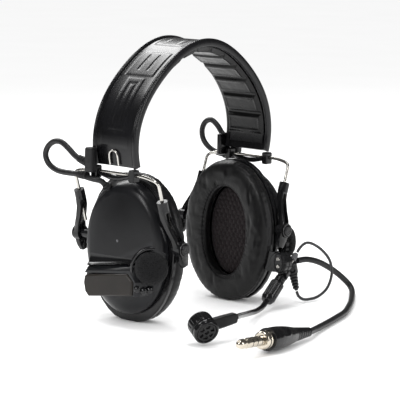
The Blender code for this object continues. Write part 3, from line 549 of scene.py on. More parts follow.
def wave(point, scale, seed=0.0):
    """Smooth seeded noise from -1 to 1 at a place in model millimetres."""
    return noise.noise(Vector(point) * scale + Vector((seed, seed * 1.7, seed * 2.3)))


def step(value, edge, soft):
    """Rises smoothly from 0 to 1 as the value passes the edge."""
    t = min(1.0, max(0.0, (value - edge) / soft + 0.5))
    return t * t * (3 - 2 * t)


def slab(value, low, high, soft):
    """1 between the two limits, with soft flanks."""
    return step(value, low, soft) * (1.0 - step(value, high, soft))


def bell(value, middle, width):
    return exp(-((value - middle) / width) ** 2)


# ==== Cords

LINK_LOOPS = {
    RIGHT: [(26.9, 114.5), (28.8, 114.8), (33, 116.8), (39, 121), (46, 124.8), (53, 124.6),
            (59, 120.6), (61.6, 114.4), (58.6, 108.4), (52, 104.8), (44, 103.6), (35, 103.6),
            (27, 103.6)],
    LEFT: [(27.1, 118), (28.6, 118.4), (32, 120.9), (36.5, 126), (42.5, 129.6), (48.5, 127.4),
           (51.6, 121), (50, 113.6), (44, 108), (35.5, 104.8), (27, 103.8)],
}
LINK_RUN_IN = [(81.5, 21.8, 102.6), (81.1, 17.4, 101.8), (79.6, 13.2, 101.2), (77.6, 10.6, 100.4),
               (75.45, 9.75, 98.4)]
LINK_RADIUS = 2.1
MIC_LEAD_RADIUS = 1.1
DOWNLEAD_RADIUS = 2.3
MIC_LEAD_ROUTE = [(76.6, -48.6, 8.2), (78, -49.6, 4.4), (82, -51.4, 1.8), (88, -53, 1.5),
                  (95.5, -54, 2.2), (103, -56, 6.4), (107.5, -57, 13), (108.6, -57.4, 21),
                  (106, -56.6, 30), (99, -54.6, 37.8), (90.5, -53, 43), (83, -52.6, 45.2),
                  (77.6, -52.5, 44.5), (73.3, -52.5, 42.1), (70.75, -52.5, 39.75)]
DOWNLEAD_ROUTE = [(86.5, -40.8, 29.5), (96.5, -42.4, 29.4), (108, -44.4, 26.4), (120, -46.6, 20.6),
                  (130.5, -49.2, 13.6), (136.8, -53.4, 6.6), (134, -58.6, 3.2), (122.4, -67.4, 2.4),
                  (107, -77.8, 2.4), (91.8, -87.3, 2.4), (65.4, -101.5, 2.4), (42, -109.6, 2.4),
                  (18.6, -116.6, 2.5), (-1, -123, 3.2), (-13.4, -127.7, 4.4)]
PLUG_START = Vector((-14, -128, 4.5))
PLUG_DIRECTION = Vector((-0.991, -0.105, 0.08)).normalized()


def make_cord(name, points, spacing, radius, skin, node, far_end="object", lay="hanging", **more):
    route = smooth_route(points, spacing)
    cord = tube(name, route, radius, skin, node)


def make_cords(plug_pieces):
    for side, word in SIDES:
        points = [(side * CLIP_CORD, y, z) for y, z in LINK_LOOPS[side]]
        points += [(side * x, y, z) for x, y, z in LINK_RUN_IN]
        make_cord(f"link_cord_{word}", points, 2.2, LINK_RADIUS, "cord", f"link_cable_{word}")
    make_cord("boom_cord", MIC_LEAD_ROUTE, 1.8, MIC_LEAD_RADIUS, "thin_cord", "mic_lead")
    inside_plug = [PLUG_START + PLUG_DIRECTION * reach for reach in (5, 12)]
    make_cord("down_cord", DOWNLEAD_ROUTE + inside_plug, 3.0, DOWNLEAD_RADIUS, "cord", "downlead",
              far_end="plug", lay="loose", with_pieces=plug_pieces)


# ==== Plug

def thumb_dimple(direction, facing, middle, halves, lip, depth, least):
    """A ripple for turned(): an oval dimple with a lip, on the side that faces a way."""
    toward = direction.normalized().to_track_quat("Z", "Y").inverted() @ Vector(facing)
    front = atan2(toward.y, toward.x)

    def ripple(angle, height, radius):
        if radius < least:
            return 0.0
        turn = (angle - front + pi) % (2 * pi) - pi
        reach = hypot(turn * radius / halves[0], (height - middle) / halves[1])
        return lip[0] * bell(reach, *lip[1:]) - depth * (1.0 - step(reach, 0.85, 0.35))

    return ripple


def make_plug():
    """A ribbed relief, a moulded grip with a thumb dimple, a metal barrel and a ringed finger."""
    profile = [(0, 0.4), (2.6, 0.4)]
    for i in range(6):
        start, radius = 1.0 + i * 3.55, 3.1 + 0.32 * i
        profile += [(radius, start), (radius + 0.25, start + 0.5), (radius + 0.25, start + 2.0),
                    (radius, start + 2.5), (radius - 0.9, start + 2.7), (radius - 0.9, start + 3.3)]
    profile += [(5.3, 22.4), (5.8, 25.5), (6.4, 29), (7, 33.6), (7.4, 38), (7.75, 43), (7.85, 47),
                (7.7, 51.5), (7.5, 54.2), (7.2, 55.2), (7.9, 55.4), (7.9, 56), (7, 56), (0, 56)]
    dimple = thumb_dimple(PLUG_DIRECTION, (-0.45, -0.62, 0.64), 41.0, (4.2, 6), (0.35, 1, 0.16), 1.1, 4.0)
    dense = []
    for (r0, h0), (r1, h1) in zip(profile, profile[1:]):
        parts = max(1, int(abs(h1 - h0) / 0.8)) if h0 > 22 else 1
        dense += [(r0 + (r1 - r0) * k / parts, h0 + (h1 - h0) * k / parts) for k in range(parts)]
    dense.append(profile[-1])
    barrel = [(0, 56.3), (6.1, 56.3), (6.2, 56.7), (6.2, 58.4), (5.9, 58.8), (6.2, 59.2), (6.2, 61.8),
              (5.9, 62.8), (5.2, 63.4), (0, 63.5)]
    finger = [(0, 63.8), (3.5, 63.8), (3.5, 65.8)]
    for start in (71.4, 77, 82.6):
        finger += [(3.1, start - 5.4), (3.1, start - 4.7), (3.5, start - 4.4), (3.5, start - 0.2)]
    finger += [(3.5, 82.6), (2.6, 83.6), (2.9, 84.2), (3.3, 85.2), (3.35, 87.6), (2.9, 89.6), (2, 91.3),
               (0.8, 91.95), (0, 92)]

    def part(outline, *shape, **more):
        return turned(outline, PLUG_START, PLUG_DIRECTION, *shape, **more)

    pieces = [stand_in("plug_grip", part(dense, 72, dimple, sharp=50.0), "gloss", "plug_body"),
              stand_in("plug_collar", part(barrel, 56), "nickel", "plug_barrel"),
              stand_in("plug_pin", part(finger), "nickel", "plug_finger")]
    for k, height in enumerate((66.35, 71.95, 77.55)):
        ring = [(3.12, height - 0.32), (3.42, height - 0.25), (3.42, height + 0.25), (3.12, height + 0.32)]
        pieces.append(place_piece(f"plug_insulator_{k}", part(ring, 40, closed=True), "gloss", "cup_left"))
    return pieces


# ==== Headband

BAND_CENTRE_Z = 127.4
BAND_RADIUS = 73.3
BAND_RADIUS_TERMS = ((1, -0.8), (2, -2.6), (4, 1.9))
BAND_HALF_WIDTH = 20.0
BAND_DEPTH = 5.8
BAND_RECESS = 1.5
BAND_END_ANGLE = 102.0
PAD_END_ANGLE = 93.0


def band_line(angle):
    radius = BAND_RADIUS
    for order, size in BAND_RADIUS_TERMS:
        radius += size * cos(order * angle)
    return Vector((radius * sin(angle), 0.0, BAND_CENTRE_Z + radius * cos(angle)))


def band_point(angle, depth, y):
    """A point of the arch at a depth under its outer line."""
    nudge = 0.001
    along = (band_line(angle + nudge) - band_line(angle - nudge)).normalized()
    place = band_line(angle) + Vector((along.z, 0.0, -along.x)) * depth
    return Vector((place.x, y, place.z))


# (height, (start, stop and softness across the channel), the same along the arch in degrees)
RELIEF = (
    (0.38, (-1, 12.8, 1.5), (26.5, 47.5, 1.6)), (-0.24, (3.4, 5.2, 1.1), (29.5, 43, 1.4)),
    (0.38, (-1, 12.8, 1.5), (-1, 17.5, 1.6)), (-0.22, (5.4, 7.2, 1.1), (-1, 13.5, 1.4)),
    (0.26, (-1, 7.4, 1.4), (50, 82, 1.6)), (-0.30, (-1, 4.4, 1.2), (53, 79, 1.5)),
    (0.26, (-1, 1.7, 1.1), (55, 84, 1.4)), (0.24, (-1, 12.6, 1.4), (84.5, 91, 1.5)),
)


def band_relief(angle, y):
    """How far the channel's floor is raised: panels and sizing tracks between the rims."""
    along, across = abs(degrees(angle)), abs(y)
    raised = sum(height * slab(across, *width) * slab(along, *length) for height, width, length in RELIEF)
    return raised + 0.35 * (across / 16.0) ** 4


def make_band():
    """The moulded arch: rounded rims, a sunk channel with its relief and a rolled inner edge."""
    half = BAND_HALF_WIDTH
    rim = [(half, 3.4), (half, 1.6), (half - 0.25, 0.75), (half - 0.75, 0.2), (half - 1.4, 0.0),
           (half - 2.1, 0.1), (half - 2.7, 0.5), (half - 3.1, 1.0), (half - 3.5, 1.45)]
    inner = [(half - 3.5, 4.4), (half - 3.1, 5.4), (half - 2.3, BAND_DEPTH), (half - 1.2, BAND_DEPTH),
             (half - 0.3, 5.4), (half, 4.6)]
    floor = [half - 3.9 - i * (2 * (half - 3.9)) / 84 for i in range(85)]
    stations = 330
    rings = []
    for i in range(stations + 1):
        angle = radians(-BAND_END_ANGLE + 2 * BAND_END_ANGLE * i / stations)
        ring = [band_point(angle, d, y) for y, d in rim]
        ring += [band_point(angle, BAND_RECESS + 0.12 - band_relief(angle, y), y) for y in floor]
        ring += [band_point(angle, d, -y) for y, d in reversed(inner + rim)]
        ring += [band_point(angle, d, y) for y, d in inner]
        rings.append(ring)
    stand_in("band_moulding", loft(rings, sharp=60.0), "band", "headband_shell")
    for k, y in enumerate((-18.55, 18.55)):
        line = [band_point(radians(-101.4 + 202.8 * i / 240), 0.75, y) for i in range(241)]
        place_piece(f"band_piping_{k}", sweep(line, round_section(1.02, 14)), "piping", "headband")


STEP_ANGLES = (-88, -79, -66, -53, -40, -27, -14, 14, 27, 40, 53, 66, 79, 88)
STEP_SECTION = ((-1, 0), (-0.9, 0.7), (-0.3, 1), (0.5, 1), (1.1, 0.6), (1.3, 0), (0, -1.5))


def make_steps():
    """Small moulded steps along the rear rim, where the band's plates overlap."""
    for k, middle in enumerate(STEP_ANGLES):
        rings = []
        for i in range(9):
            share = i / 8
            angle = radians(middle + (share - 0.5) * 9.0)
            lift = 0.55 * sin(pi * share) ** 0.4
            rings.append([band_point(angle, BAND_RECESS - lift * b, 18.6 + a) for a, b in STEP_SECTION])
        place_piece(f"band_step_{k}", loft(rings), "band", "headband")


PAD_BLOCKS = 13
PAD_HALF_WIDTH = 16.6


def make_pad():
    """The inner pad: padded blocks with a rolled edge, between deep cross channels."""
    half = PAD_HALF_WIDTH
    stations, across = 520, 60
    rings = []
    top = BAND_DEPTH + 0.3
    for i in range(stations + 1):
        angle = radians(-PAD_END_ANGLE + 2 * PAD_END_ANGLE * i / stations)
        crown = 0.5 + 0.5 * cos(min(pi, abs(angle) * 2.0))
        phase = (degrees(angle) / PAD_END_ANGLE * PAD_BLOCKS / 2 + 0.5) % 1.0
        along = abs(phase - 0.5) * 2.0
        ring = []
        for k in range(across + 1):
            y = -half + 2 * half * k / across
            share = abs(y) / half
            inside = min((1.0 - along) * 6.6, (1.0 - share) * half)
            block = step(inside, 1.25, 1.9)
            rolled = bell(inside, 2.6, 0.85)
            belly = 0.45 * (1 - along ** 2) * (1 - share ** 2)
            spot = band_point(angle, top, y)
            lump = 0.13 * wave(spot, 0.17, 3.0) + 0.05 * wave(spot, 0.55, 8.0)
            thick = 0.8 + (1.5 + 0.9 * crown) * block + 0.38 * rolled + belly * block + lump * block
            ring.append(band_point(angle, top + thick * (1.0 - 0.55 * step(share, 0.985, 0.02)), y))
        ring += [band_point(angle, top, y) for y in (half, 0.0, -half)]
        rings.append(ring)
    stand_in("band_pad", loft(rings, sharp=75.0), "pad", "headband_pad")


# ==== Bracket, yoke and fork

BOSS_X, BOSS_Y, BOSS_Z = 58.6, 48.0, 57.0
LEG_TOP = Vector((73.8, 0, 103.6))
LEG_Y, LEG_SLOPE, LEG_LENGTH = 39.4, 0.327, 38.0


def make_wires(side, word):
    """The yoke's bent wire and the U of wire that shows at the band's end."""
    shoulder = [(73.4, 39.2, 102.4), (74.2, 38.1, 104), (74.6, 35.8, 105.1), (74.9, 32, 106),
                (75, 28, 106.7), (75, 23.5, 107), (75, 18, 107), (75, 9, 107)]
    drop = 1.0 / hypot(1.0, LEG_SLOPE)
    route = [Vector((side * (LEG_TOP.x - LEG_SLOPE * drop * run), LEG_Y, LEG_TOP.z - drop * run))
             for run in (LEG_LENGTH, 28.0, 18.0, 9.0, 4.0)]
    route += [Vector((side * x, y, z)) for x, y, z in shoulder]
    route += [Vector((p.x, -p.y, p.z)) for p in reversed(route)]
    tube(f"yoke_rod_{word}", smooth_route(route, 2.0), 1.2, "steel", f"yoke_wire_{word}")
    legs = [(101, 4), (98, 4), (95.5, 3.8), (94, 2.7), (93.2, 0)]
    loop = legs + [(angle, -y) for angle, y in reversed(legs[:-1])]
    wire = [band_point(side * radians(angle), 0.3, y) for angle, y in loop]
    tube(f"clip_rod_{word}", smooth_route(wire, 0.9), 0.75, "steel", f"spring_clip_{word}")


def block(corner, opposite, radius):
    """A block between two corners with every edge rounded."""
    low, high = (Vector([pick(pair) for pair in zip(corner, opposite)]) for pick in (min, max))
    middle, half = (low + high) / 2, (high - low) / 2
    rings = []
    for share in (-1.0, -0.97, -0.9, -0.6, 0.6, 0.9, 0.97, 1.0):
        inset = radius * (1.0 - sqrt(max(0.0, 1.0 - max(0.0, (abs(share) - 0.6) / 0.4) ** 2)))
        ring = []
        for corner in range(4):
            for k in range(7):
                angle = pi / 2 * (corner + k / 6)
                sy = 1 if corner in (0, 3) else -1
                sz = 1 if corner in (0, 1) else -1
                y = sy * (half.y - radius) + (radius - inset) * cos(angle)
                z = sz * (half.z - radius) + (radius - inset) * sin(angle)
                ring.append(middle + Vector((half.x * share, y, z)))
        rings.append(ring)
    return loft(rings, sharp=50.0)


CLIP_OUT, CLIP_CORD = 84.6, 81.5
BOOT_PROFILE = [(0, 0), (3, 0), (3.1, 0.5), (3.1, 1.8), (2.7, 2), (2.7, 2.5), (3, 2.7), (3, 3.9),
                (2.6, 4.1), (2.6, 4.6), (2.9, 4.8), (2.9, 6), (2.5, 6.2), (2.5, 6.7), (2.7, 6.9), (2.6, 8.6),
                (2.3, 8.9), (0, 8.9)]


def make_clip(side, word):
    """The clip on the band's rear edge: a block, a hook over the edge and a boot on each end of the loop."""
    body = block((side * 78.4, 13.5, 106.4), (side * CLIP_OUT, 21.0, 124.0), 1.6)
    stand_in(f"clip_block_{word}", body, "rubber", f"cable_clip_{word}")
    for k, z in enumerate((109.6, 113.4, 117.2, 121)):
        edge = side * (CLIP_OUT + 0.05)
        rib = block((edge - side * 0.9, 14.6, z - 0.55), (edge, 20.0, z + 0.55), 0.4)
        place_piece(f"clip_rib_{word}_{k}", rib, "rubber", "headband")
    inner = -70.5 if side == RIGHT else 66.0
    hook = block((inner, 20.5, 105.5), (side * 79.5, 24.6, 122.0), 1.4)
    place_piece(f"clip_hook_{word}", hook, "gloss", "headband")
    route = smooth_route([(side * CLIP_CORD, y, z) for y, z in LINK_LOOPS[side]], 1.2)
    for k, (start, toward) in enumerate(((route[0], route[3]), (route[-1], route[-4]))):
        along = (toward - start).normalized()
        boot = turned(BOOT_PROFILE, start - along * 6.6, along, 40)
        place_piece(f"clip_boot_{word}_{k}", boot, "rubber", "headband")


SCREW_PROFILE = [(0, 0), (2, 0), (2, 5.9), (3.7, 5.9), (3.9, 6.1), (3.9, 6.7), (3.7, 7.1), (3.3, 7.35),
                 (2.9, 7.35), (2.7, 7.05), (2.4, 7.05), (2.2, 7.3), (1.2, 7.35), (0.9, 7.1), (0, 7.1)]
WASHER_PROFILE = [(4.15, 5.9), (5.1, 5.9), (5.2, 6.1), (5.1, 6.35), (4.25, 6.35), (4.15, 6.2)]


def make_pivot_screw(side, word, end, place):
    """A shouldered screw with a ringed head, and the washer under it."""
    start, outward = Vector((side * BOSS_X, end * (BOSS_Y - 2.6), BOSS_Z)), (0, end, 0)
    name = f"pivot_screw_{word}_{place}"
    stand_in(f"{name}_fine", turned(SCREW_PROFILE, start, outward, 56), "gloss", name)
    washer = turned(WASHER_PROFILE, start, outward, 56, closed=True)
    place_piece(f"{name}_washer", washer, "gloss", f"fork_{word}")


# ==== Cups

CUP_Y, CUP_Z = -2.5, 52.2
CUSHION_HOLE, CUSHION_OUTER = (19, 33), (40.6, 53.2)
CUSHION_SECTION = ((0.2, 56.2), (0.07, 53), (0.02, 49), (0.03, 46.6), (0.09, 45.1), (0.2, 44.4),
                   (0.42, 44), (0.68, 44.3), (0.9, 46), (1, 49.8), (0.98, 54), (0.88, 56.2))
INNER_SEAM, OUTER_SEAM = 0.375, 0.80  # shares of the way along the section
PUCKERS = 74
OVAL_POWER = 2.06
LINER_HALF = (19.5, 33.9)


def oval(angle, halves):
    """A point of the cup's oval, as Y and Z from its middle."""
    c, s = cos(angle), sin(angle)
    return (halves[0] * copysign(abs(c) ** (2 / OVAL_POWER), c),
            halves[1] * copysign(abs(s) ** (2 / OVAL_POWER), s))


def ring_halves(share):
    """The half width and height of the cushion's oval, from its hole at 0 to its outside at 1."""
    return [hole + (outer - hole) * share for hole, outer in zip(CUSHION_HOLE, CUSHION_OUTER)]


def make_cushion(side, word):
    """A leatherette ring: a crowned front, a sewn seam inside it and soft puckers along the seam."""
    section = [Vector(p) for p in CUSHION_SECTION]
    last = 7 * (len(section) - 1)
    fine = [catmull(section, k / 7) for k in range(last)] + [section[-1]]
    rings = []
    for angle in circle(260):
        middle_y, middle_z = oval(angle, (CUSHION_HOLE[0] + 10.8, CUSHION_HOLE[1] + 10.1))
        ring = []
        for k, (share, x) in enumerate(fine):
            y, z = oval(angle, ring_halves(share))
            t = k / last
            near_seam = bell(t, INNER_SEAM, 0.085) + 0.8 * bell(t, OUTER_SEAM, 0.07)
            inward = Vector((50.6 - x, middle_y - y, middle_z - z)).normalized()
            y, z = CUP_Y + y, CUP_Z + z
            lumps = wave((y, z, side * 40), 0.21, 5.0 + side)
            puckers = sin(angle * PUCKERS + 2.2 * wave((y, z, 9.0), 0.12, 2.0)) * near_seam
            creases = max(0.0, wave((y * 1.3, z * 0.5, 3.0 + side), 0.16, 11.0) - 0.22)
            sink = 0.62 * bell(t, INNER_SEAM, 0.016) + 0.42 * bell(t, OUTER_SEAM, 0.014)
            sink += 1.3 * creases * slab(t, 0.38, 0.78, 0.2) - 0.17 * puckers - 0.28 * lumps
            moved = Vector((x, y, z)) + inward * sink * slab(t, 0.06, 0.94, 0.08)
            ring.append(Vector((side * moved.x, moved.y, max(moved.z, 0.05))))
        rings.append(ring)
    data = loft(rings, closed_along=True, sharp=75.0)
    stand_in(f"cushion_{word}", data, "leather", f"ear_cushion_{word}")
    make_seam(side, word, fine[round(INNER_SEAM * last)])


def make_seam(side, word, spot):
    """A raised thread along the cushion's inner seam."""
    line = []
    for angle in circle(280):
        y, z = oval(angle, ring_halves(spot.x + 0.03))
        line.append(Vector((side * (spot.y - 0.02), CUP_Y + y, CUP_Z + z)))
    thread = sweep(line, round_section(0.22, 8), closed=True, side=Vector((1, 0, 0)))
    place_piece(f"cushion_seam_{word}", thread, "rubber", f"cup_{word}")


def hex_dent(y, z, pitch):
    """0 on the net between the dents, up to 1 in the middle of one."""
    row_height = pitch * 0.866
    best = 9.0
    row = round(z / row_height)
    for r in (row - 1, row, row + 1):
        shift = 0.5 * pitch if r % 2 else 0.0
        column = round((y - shift) / pitch)
        best = min(best, hypot(y - shift - column * pitch, z - r * row_height))
    return max(0.0, 1.0 - (best / (0.5 * pitch)) ** 2)


def make_liner(side, word):
    """Dimpled foam behind a thin cloth, inside the cushion."""
    rows, around = 52, 220
    back = [oval(angle, LINER_HALF) for angle in circle(around)]
    rings = [[Vector((side * 56.2, CUP_Y + y, CUP_Z + z)) for y, z in back]]
    for j in range(rows):
        share = 1.0 - 0.985 * j / (rows - 1)
        ring = []
        for angle in circle(around):
            y, z = oval(angle, [half * share for half in LINER_HALF])
            dent = hex_dent(y, z, 4.0)
            edge = 1.0 - step(share, 0.965, 0.05)
            rise = 0.95 * (1 - share ** 2) + 0.25 * wave((y, z, side * 9.0), 0.12, 4.0)
            x = 53.7 - (0.35 + 0.85 * dent ** 0.8) * edge - 0.5 * rise + 1.4 * step(share, 0.985, 0.03)
            ring.append(Vector((side * x, CUP_Y + y, CUP_Z + z)))
        rings.append(ring)
    stand_in(f"liner_{word}", loft(rings, sharp=70.0), "liner", f"ear_foam_{word}")


INDICATOR = (-2.2, 58.9)
FOAM_CENTRE = {RIGHT: Vector((-70.6, -31.9, 43)), LEFT: Vector((76.5, -36.5, 45))}
FOAM_AXIS = {RIGHT: Vector((-0.75, -0.66, 0)), LEFT: Vector((0.75, -0.66, 0))}


def make_windscreen(side, word):
    """The foam dome over the outside microphone, with the small unevenness of cut foam."""
    outline = [Vector(p) for p in ((0, 7.6), (3.6, 7.4), (7, 6.7), (9.6, 5.3), (11.3, 3.3), (11.7, 1.6),
                                   (10.6, 0.2), (8, -2.2), (0, -3))]
    profile = [catmull(outline, (len(outline) - 1) * k / 56) for k in range(57)]
    profile = [(max(p.x, 0.0), p.y) for p in profile]

    def rough(angle, height, radius):
        spot = (radius * cos(angle), radius * sin(angle), height * 1.5 + side * 20)
        return 0.30 * wave(spot, 0.30, 1.0) + 0.22 * wave(spot, 0.95, 7.0)

    dome = turned(profile, FOAM_CENTRE[side], FOAM_AXIS[side], 110, rough, sharp=80.0)
    stand_in(f"windscreen_{word}", dome, "foam", f"ambient_foam_{word}")


CAP_PROFILE = [(0, -1.6), (1.6, -1.6), (1.6, 1.25), (2.35, 1.3), (2.45, 1.5), (2.3, 1.75), (2.1, 1.9),
               (2, 2.2), (1.7, 2.6), (1.2, 2.85), (0.6, 3), (0, 3.05)]
BUTTON_AXIS = Vector((-0.58, -0.7, -0.41)).normalized()
BUTTON_PLACES = {
    "button_power": Vector((-79.5, -26.5, 28.9)),
    "button_up": Vector((-75.3, -28.7, 27.7)) + BUTTON_AXIS * 0.7,  # the shell bulges more there
    "button_down": Vector((-69.9, -29.7, 27.4)),
}


def make_buttons():
    """Domed caps with a flange that hides the hole."""
    for name, place in BUTTON_PLACES.items():
        stand_in(f"{name}_cap", turned(CAP_PROFILE, place, BUTTON_AXIS, 40), "shell_gloss", name)


def face_point(y, z, out=0.0):
    """A point on the right cup's flat outer face, or a distance outside it."""
    return Vector((-(73.5 + 0.1 * (y + 6.0) + out), y, z))


def make_ledge():
    """The glossy hollow in the shell above the lid."""
    rings = []
    for i in range(61):
        share = i / 60
        y = 23.5 - 43.0 * share
        base = 41.2 + 0.141 * (10.0 - y) * 0.9
        fade = slab(share, 0.03, 0.985, 0.06)
        high = (8.2 - 5.6 * share) * fade
        ring = [face_point(y, base - 2.0, -1.5)]
        for k in range(13):
            turn = pi / 2 * k / 12
            out = 5.2 * fade * (1.0 - sin(turn)) ** 1.25
            ring.append(face_point(y, base + high * (1.0 - cos(turn)) ** 1.1, out + 0.02))
        ring.append(face_point(y, base + high, -1.5))
        rings.append(ring)
    place_piece("lid_ledge", loft(rings, sharp=60.0), "shell_gloss", "cup_right")


def make_pocket_lip():
    """The lip from the ledge round the windscreen, and the indicator's lens."""
    centre, axis = FOAM_CENTRE[RIGHT], FOAM_AXIS[RIGHT].normalized()
    across = axis.cross(Vector((0, 0, 1))).normalized()
    rise = across.cross(axis).normalized()
    rings = []
    for i in range(97):
        share = i / 96
        angle = radians(-14.0 + 150.0 * share)
        size = 1.25 * sin(pi * share) ** 0.45 + 0.02
        spoke = across * cos(angle) + rise * sin(angle)
        middle = centre + spoke * 13.9 + axis * (0.5 - 0.2 * sin(angle))
        rings.append([middle + spoke * a * size * 1.15 + axis * b * size for a, b in round_section(1.0, 14)])
    place_piece("pocket_lip", loft(rings, sharp=60.0), "shell_gloss", "cup_right")
    lens = [(0, -0.6), (0.95, -0.6), (0.95, 0.12), (0.8, 0.25), (0.6, 0.22), (0, 0.34)]
    lens = turned(lens, face_point(*INDICATOR), (-1, 0, 0), 28)
    place_piece("indicator_lens", lens, "grey", "cup_right")


# ==== Boom and microphone

BOOM_NUT_END = Vector((34.5, -52.5, 7.3))
BOOM_UPWARD = Vector((0.745, 0, 0.667)).normalized()
BOOM_ROUTE = [(34.1, -52.5, 6.9), (31.2, -52.9, 5.2), (24.6, -55.2, 4), (13.6, -59.4, 4.2),
              (1, -64, 5.5), (-12.3, -70.6, 7.6), (-26, -78.2, 10.2), (-40, -86.2, 12.9),
              (-52.5, -93.5, 15.1)]
MIC_CENTRE = Vector((-82, -89, 12))
MIC_NORMAL = Vector((-0.36, -0.84, -0.4)).normalized()
MIC_THICKNESS = 14.0


def make_boom():
    """The bent boom, the straight rod above it, the grey sleeve on the rod and the fluted nut."""
    tube("boom_wire", smooth_route(BOOM_ROUTE, 1.6), 2.0, "gloss", "boom_tube", sides=7)
    rod = [(0, -0.1), (1.2, -0.1), (1.3, 0.1), (1.3, 40.4), (1.2, 40.6), (0, 40.6)]
    stand_in("boom_rod_fine", turned(rod, BOOM_NUT_END, BOOM_UPWARD, 32), "steel", "boom_rod")
    sleeve = [(0, 41), (1.9, 41), (2.25, 41.3), (2.3, 42), (2.2, 43), (2.3, 44.2), (2.25, 45.2),
              (1.9, 46.1), (1.6, 46.8), (0, 46.8)]
    stand_in("boom_shrink", turned(sleeve, BOOM_NUT_END, BOOM_UPWARD, 36), "grey", "boom_sleeve")

    def flutes(angle, height, radius):
        if radius < 4.6 or not 3.0 < height < 17.5:
            return 0.0
        reach = slab(height, 4.6, 16.0, 1.8)
        return -0.75 * reach * max(0.0, cos(angle * 8)) ** 1.5

    nut = [(1.6, 0), (3.6, 0), (4.1, 0.3), (4.6, 1.4), (5, 2.6)]
    nut += [(5.3, 3.2 + 0.5 * k) for k in range(28)]
    nut += [(5.1, 17.4), (4.4, 18), (4, 18.6), (3.75, 19), (3.95, 19.4), (3.95, 20.4), (3.7, 20.8),
            (3.95, 21.2), (3.95, 22.4), (3.6, 23.2), (3.2, 23.6), (1.6, 23.6)]
    nut = turned(nut, BOOM_NUT_END, BOOM_UPWARD, 144, flutes, closed=True)
    stand_in("clamp_nut_fine", nut, "gloss", "clamp_nut")


def make_microphone():
    """A ribbed round head, and its face with six slots round a middle hole."""
    half = MIC_THICKNESS / 2

    def ribs(angle, height, radius):
        if radius < 8.6:
            return 0.0
        return -0.30 * max(0.0, cos(angle * 16)) ** 4 * slab(height, -5.2, 0.6, 0.8)

    rim = [(0, half - 1.5), (7.0, half - 1.5), (7.15, half - 0.4), (7.5, half - 0.05), (8.0, half),
           (8.5, half - 0.15), (8.9, half - 0.7), (9.0, half - 1.5), (9, 3.6), (8.8, 3.2), (8.55, 3),
           (8.55, 2.4), (8.8, 2.2), (9, 1.9), (9, 1.2), (8.8, 1)]
    rim += [(8.95, 0.8 - 0.5 * k) for k in range(13)]
    rim += [(8.7, 0.6 - half), (8.2, 0.15 - half), (7.6, -half), (0, -half)]
    stand_in("mic_body", turned(rim, MIC_CENTRE, MIC_NORMAL, 128, ribs), "gloss", "mic_head")
    edge, around = 6.75, circle(160)
    rings = [[(edge * cos(angle), edge * sin(angle), half - 1.7) for angle in around]]
    for j in range(40):
        radius = edge * (1 - j / 39) + 0.01
        ring = []
        for angle in around:
            sector = (angle % (pi / 3)) / (pi / 3) - 0.5
            slot = slab(radius, 3.1, 5.4, 0.5) * slab(abs(sector), -1.0, 0.29, 0.06)
            hole = slab(radius, -1.0, 1.35, 0.5)
            height = half - 0.45 - 1.1 * max(slot, hole) - 0.15 * slab(radius, 6.0, 6.5, 0.3)
            ring.append((radius * cos(angle), radius * sin(angle), height))
        rings.append(ring)
    turn = MIC_NORMAL.to_track_quat("Z", "Y")
    rings = [[MIC_CENTRE + turn @ Vector(p) for p in ring] for ring in rings]
    stand_in("mic_face", loft(rings, sharp=50.0), "gloss", "mic_grille")


MOUNT_FACE = Vector((48.35, -51.6, 34.2))
OVAL_SECTION = ((-0.75, -0.3), (-0.7, 0.25), (-0.35, 0.45), (0.35, 0.45), (0.7, 0.25), (0.75, -0.3))
STUD_PROFILE = [(0, -0.3), (1.5, -0.3), (1.5, 0.2), (1.2, 0.5), (0.7, 0.5), (0.55, 0.25), (0, 0.25)]


def make_mount_oval():
    """A raised oval frame on the boom mount's face, round two studs."""
    rings = []
    for angle in circle(72):
        out = Vector((0, cos(angle), sin(angle)))
        middle = MOUNT_FACE + out * Vector((0, 3.6, 6.3))
        rings.append([middle + out * a + Vector((-b, 0, 0)) for a, b in OVAL_SECTION])
    place_piece("mount_oval", loft(rings, closed_along=True), "gloss", "cup_left")
    for k, rise in enumerate((-2.8, 2.8)):
        stud = turned(STUD_PROFILE, MOUNT_FACE + Vector((0, 0, rise)), (-1, 0, 0), 32)
        place_piece(f"mount_stud_{k}", stud, "steel", "cup_left")


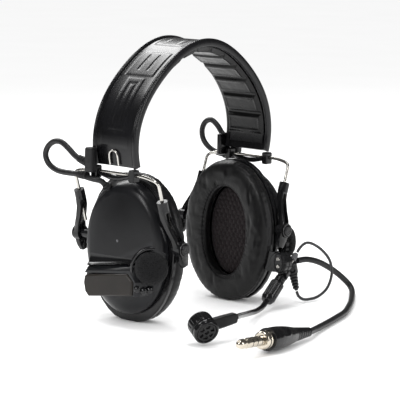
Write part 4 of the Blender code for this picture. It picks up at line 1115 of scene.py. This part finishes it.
def make_connector():
    """The lead's moulded plug: an oval thumb dimple over a ribbed relief."""
    top, end = Vector((72, -45.5, 31)), Vector((76.5, -48.5, 9))
    length = (end - top).length
    profile = [(0, length), (3.2, length), (3.9, length - 0.3), (4.3, length - 1.0)]
    profile += [(4.4 - 0.02 * k, length - 1.4 - 0.5 * k) for k in range(15)]
    profile += [(3.9, length - 9.0), (2.2, length - 9.3)]
    for i in range(5):
        high, radius = length - 9.6 - i * 2.45, 3.3 - 0.22 * i
        profile += [(radius - 0.9, high), (radius, high - 0.15), (radius, high - 1.5),
                    (radius - 0.9, high - 1.7)]
    profile += [(1.3, 0.3), (0, 0.2)]
    dimple = thumb_dimple(top - end, (-0.76, -0.63, 0.15), length - 4.9, (2.4, 3), (0.2, 1.05, 0.15), 0.7, 3.8)
    stand_in("lead_plug", turned(profile, end, top - end, 72, dimple), "gloss", "mic_connector")


def make_gland():
    """The gland through which the downlead leaves the cup."""
    start, finish = Vector((76, -34.6, 27.6)), Vector((85.6, -40.2, 29.4))
    gland = [(0, 0), (3.2, 0), (3.2, 3.2), (3.7, 3.4), (3.9, 3.7), (3.9, 5.4), (3.7, 5.7), (3.2, 6)]
    for i in range(2):
        gland += [(3.2 - 0.2 * i, 6.2 + 2.4 * i), (3.15 - 0.2 * i, 7.7 + 2.4 * i), (2.5, 7.9 + 2.4 * i),
                  (2.5, 8.4 + 2.4 * i)]
    gland += [(2.6, 11.1), (2.3, 11.2), (0, 11.2)]
    stand_in("lead_gland", turned(gland, start, finish - start, 56), "rubber", "downlead_gland")


# ==== Assembly

FINE_NODES = {
    "circuit_board": 0.15, "battery_cell": 0.2, "battery_lid": 0.35, "boom_mount": 0.25,
    "boom_swivel": 0.25, "mic_neck": 0.4,
}
SIDE_NODES = {
    "end_bracket": 0.35, "back_plate": 0.25, "cup_shell": 0.6, "speaker": 0.2,
    "mic_pocket": 0.25, "cable_grommet": 0.2,
}


def make_headset():
    for node, width in FINE_NODES.items():
        refined(node, width)
    refined("headband_spring", 0.0, skin="gloss")
    for side, word in SIDES:
        for stem, width in SIDE_NODES.items():
            refined(f"{stem}_{word}", width)
        for end, place in ENDS:
            refined(f"fork_arm_{word}_{place}", 0.3)
            make_pivot_screw(side, word, end, place)
        for make in (make_wires, make_clip, make_cushion, make_liner, make_windscreen):
            make(side, word)
    for make in (make_band, make_steps, make_pad, make_buttons, make_ledge, make_pocket_lip, make_boom,
                 make_microphone, make_mount_oval, make_connector, make_gland):
        make()


make_camera()
make_cords(make_plug())
make_light()
make_floor()
make_headset()
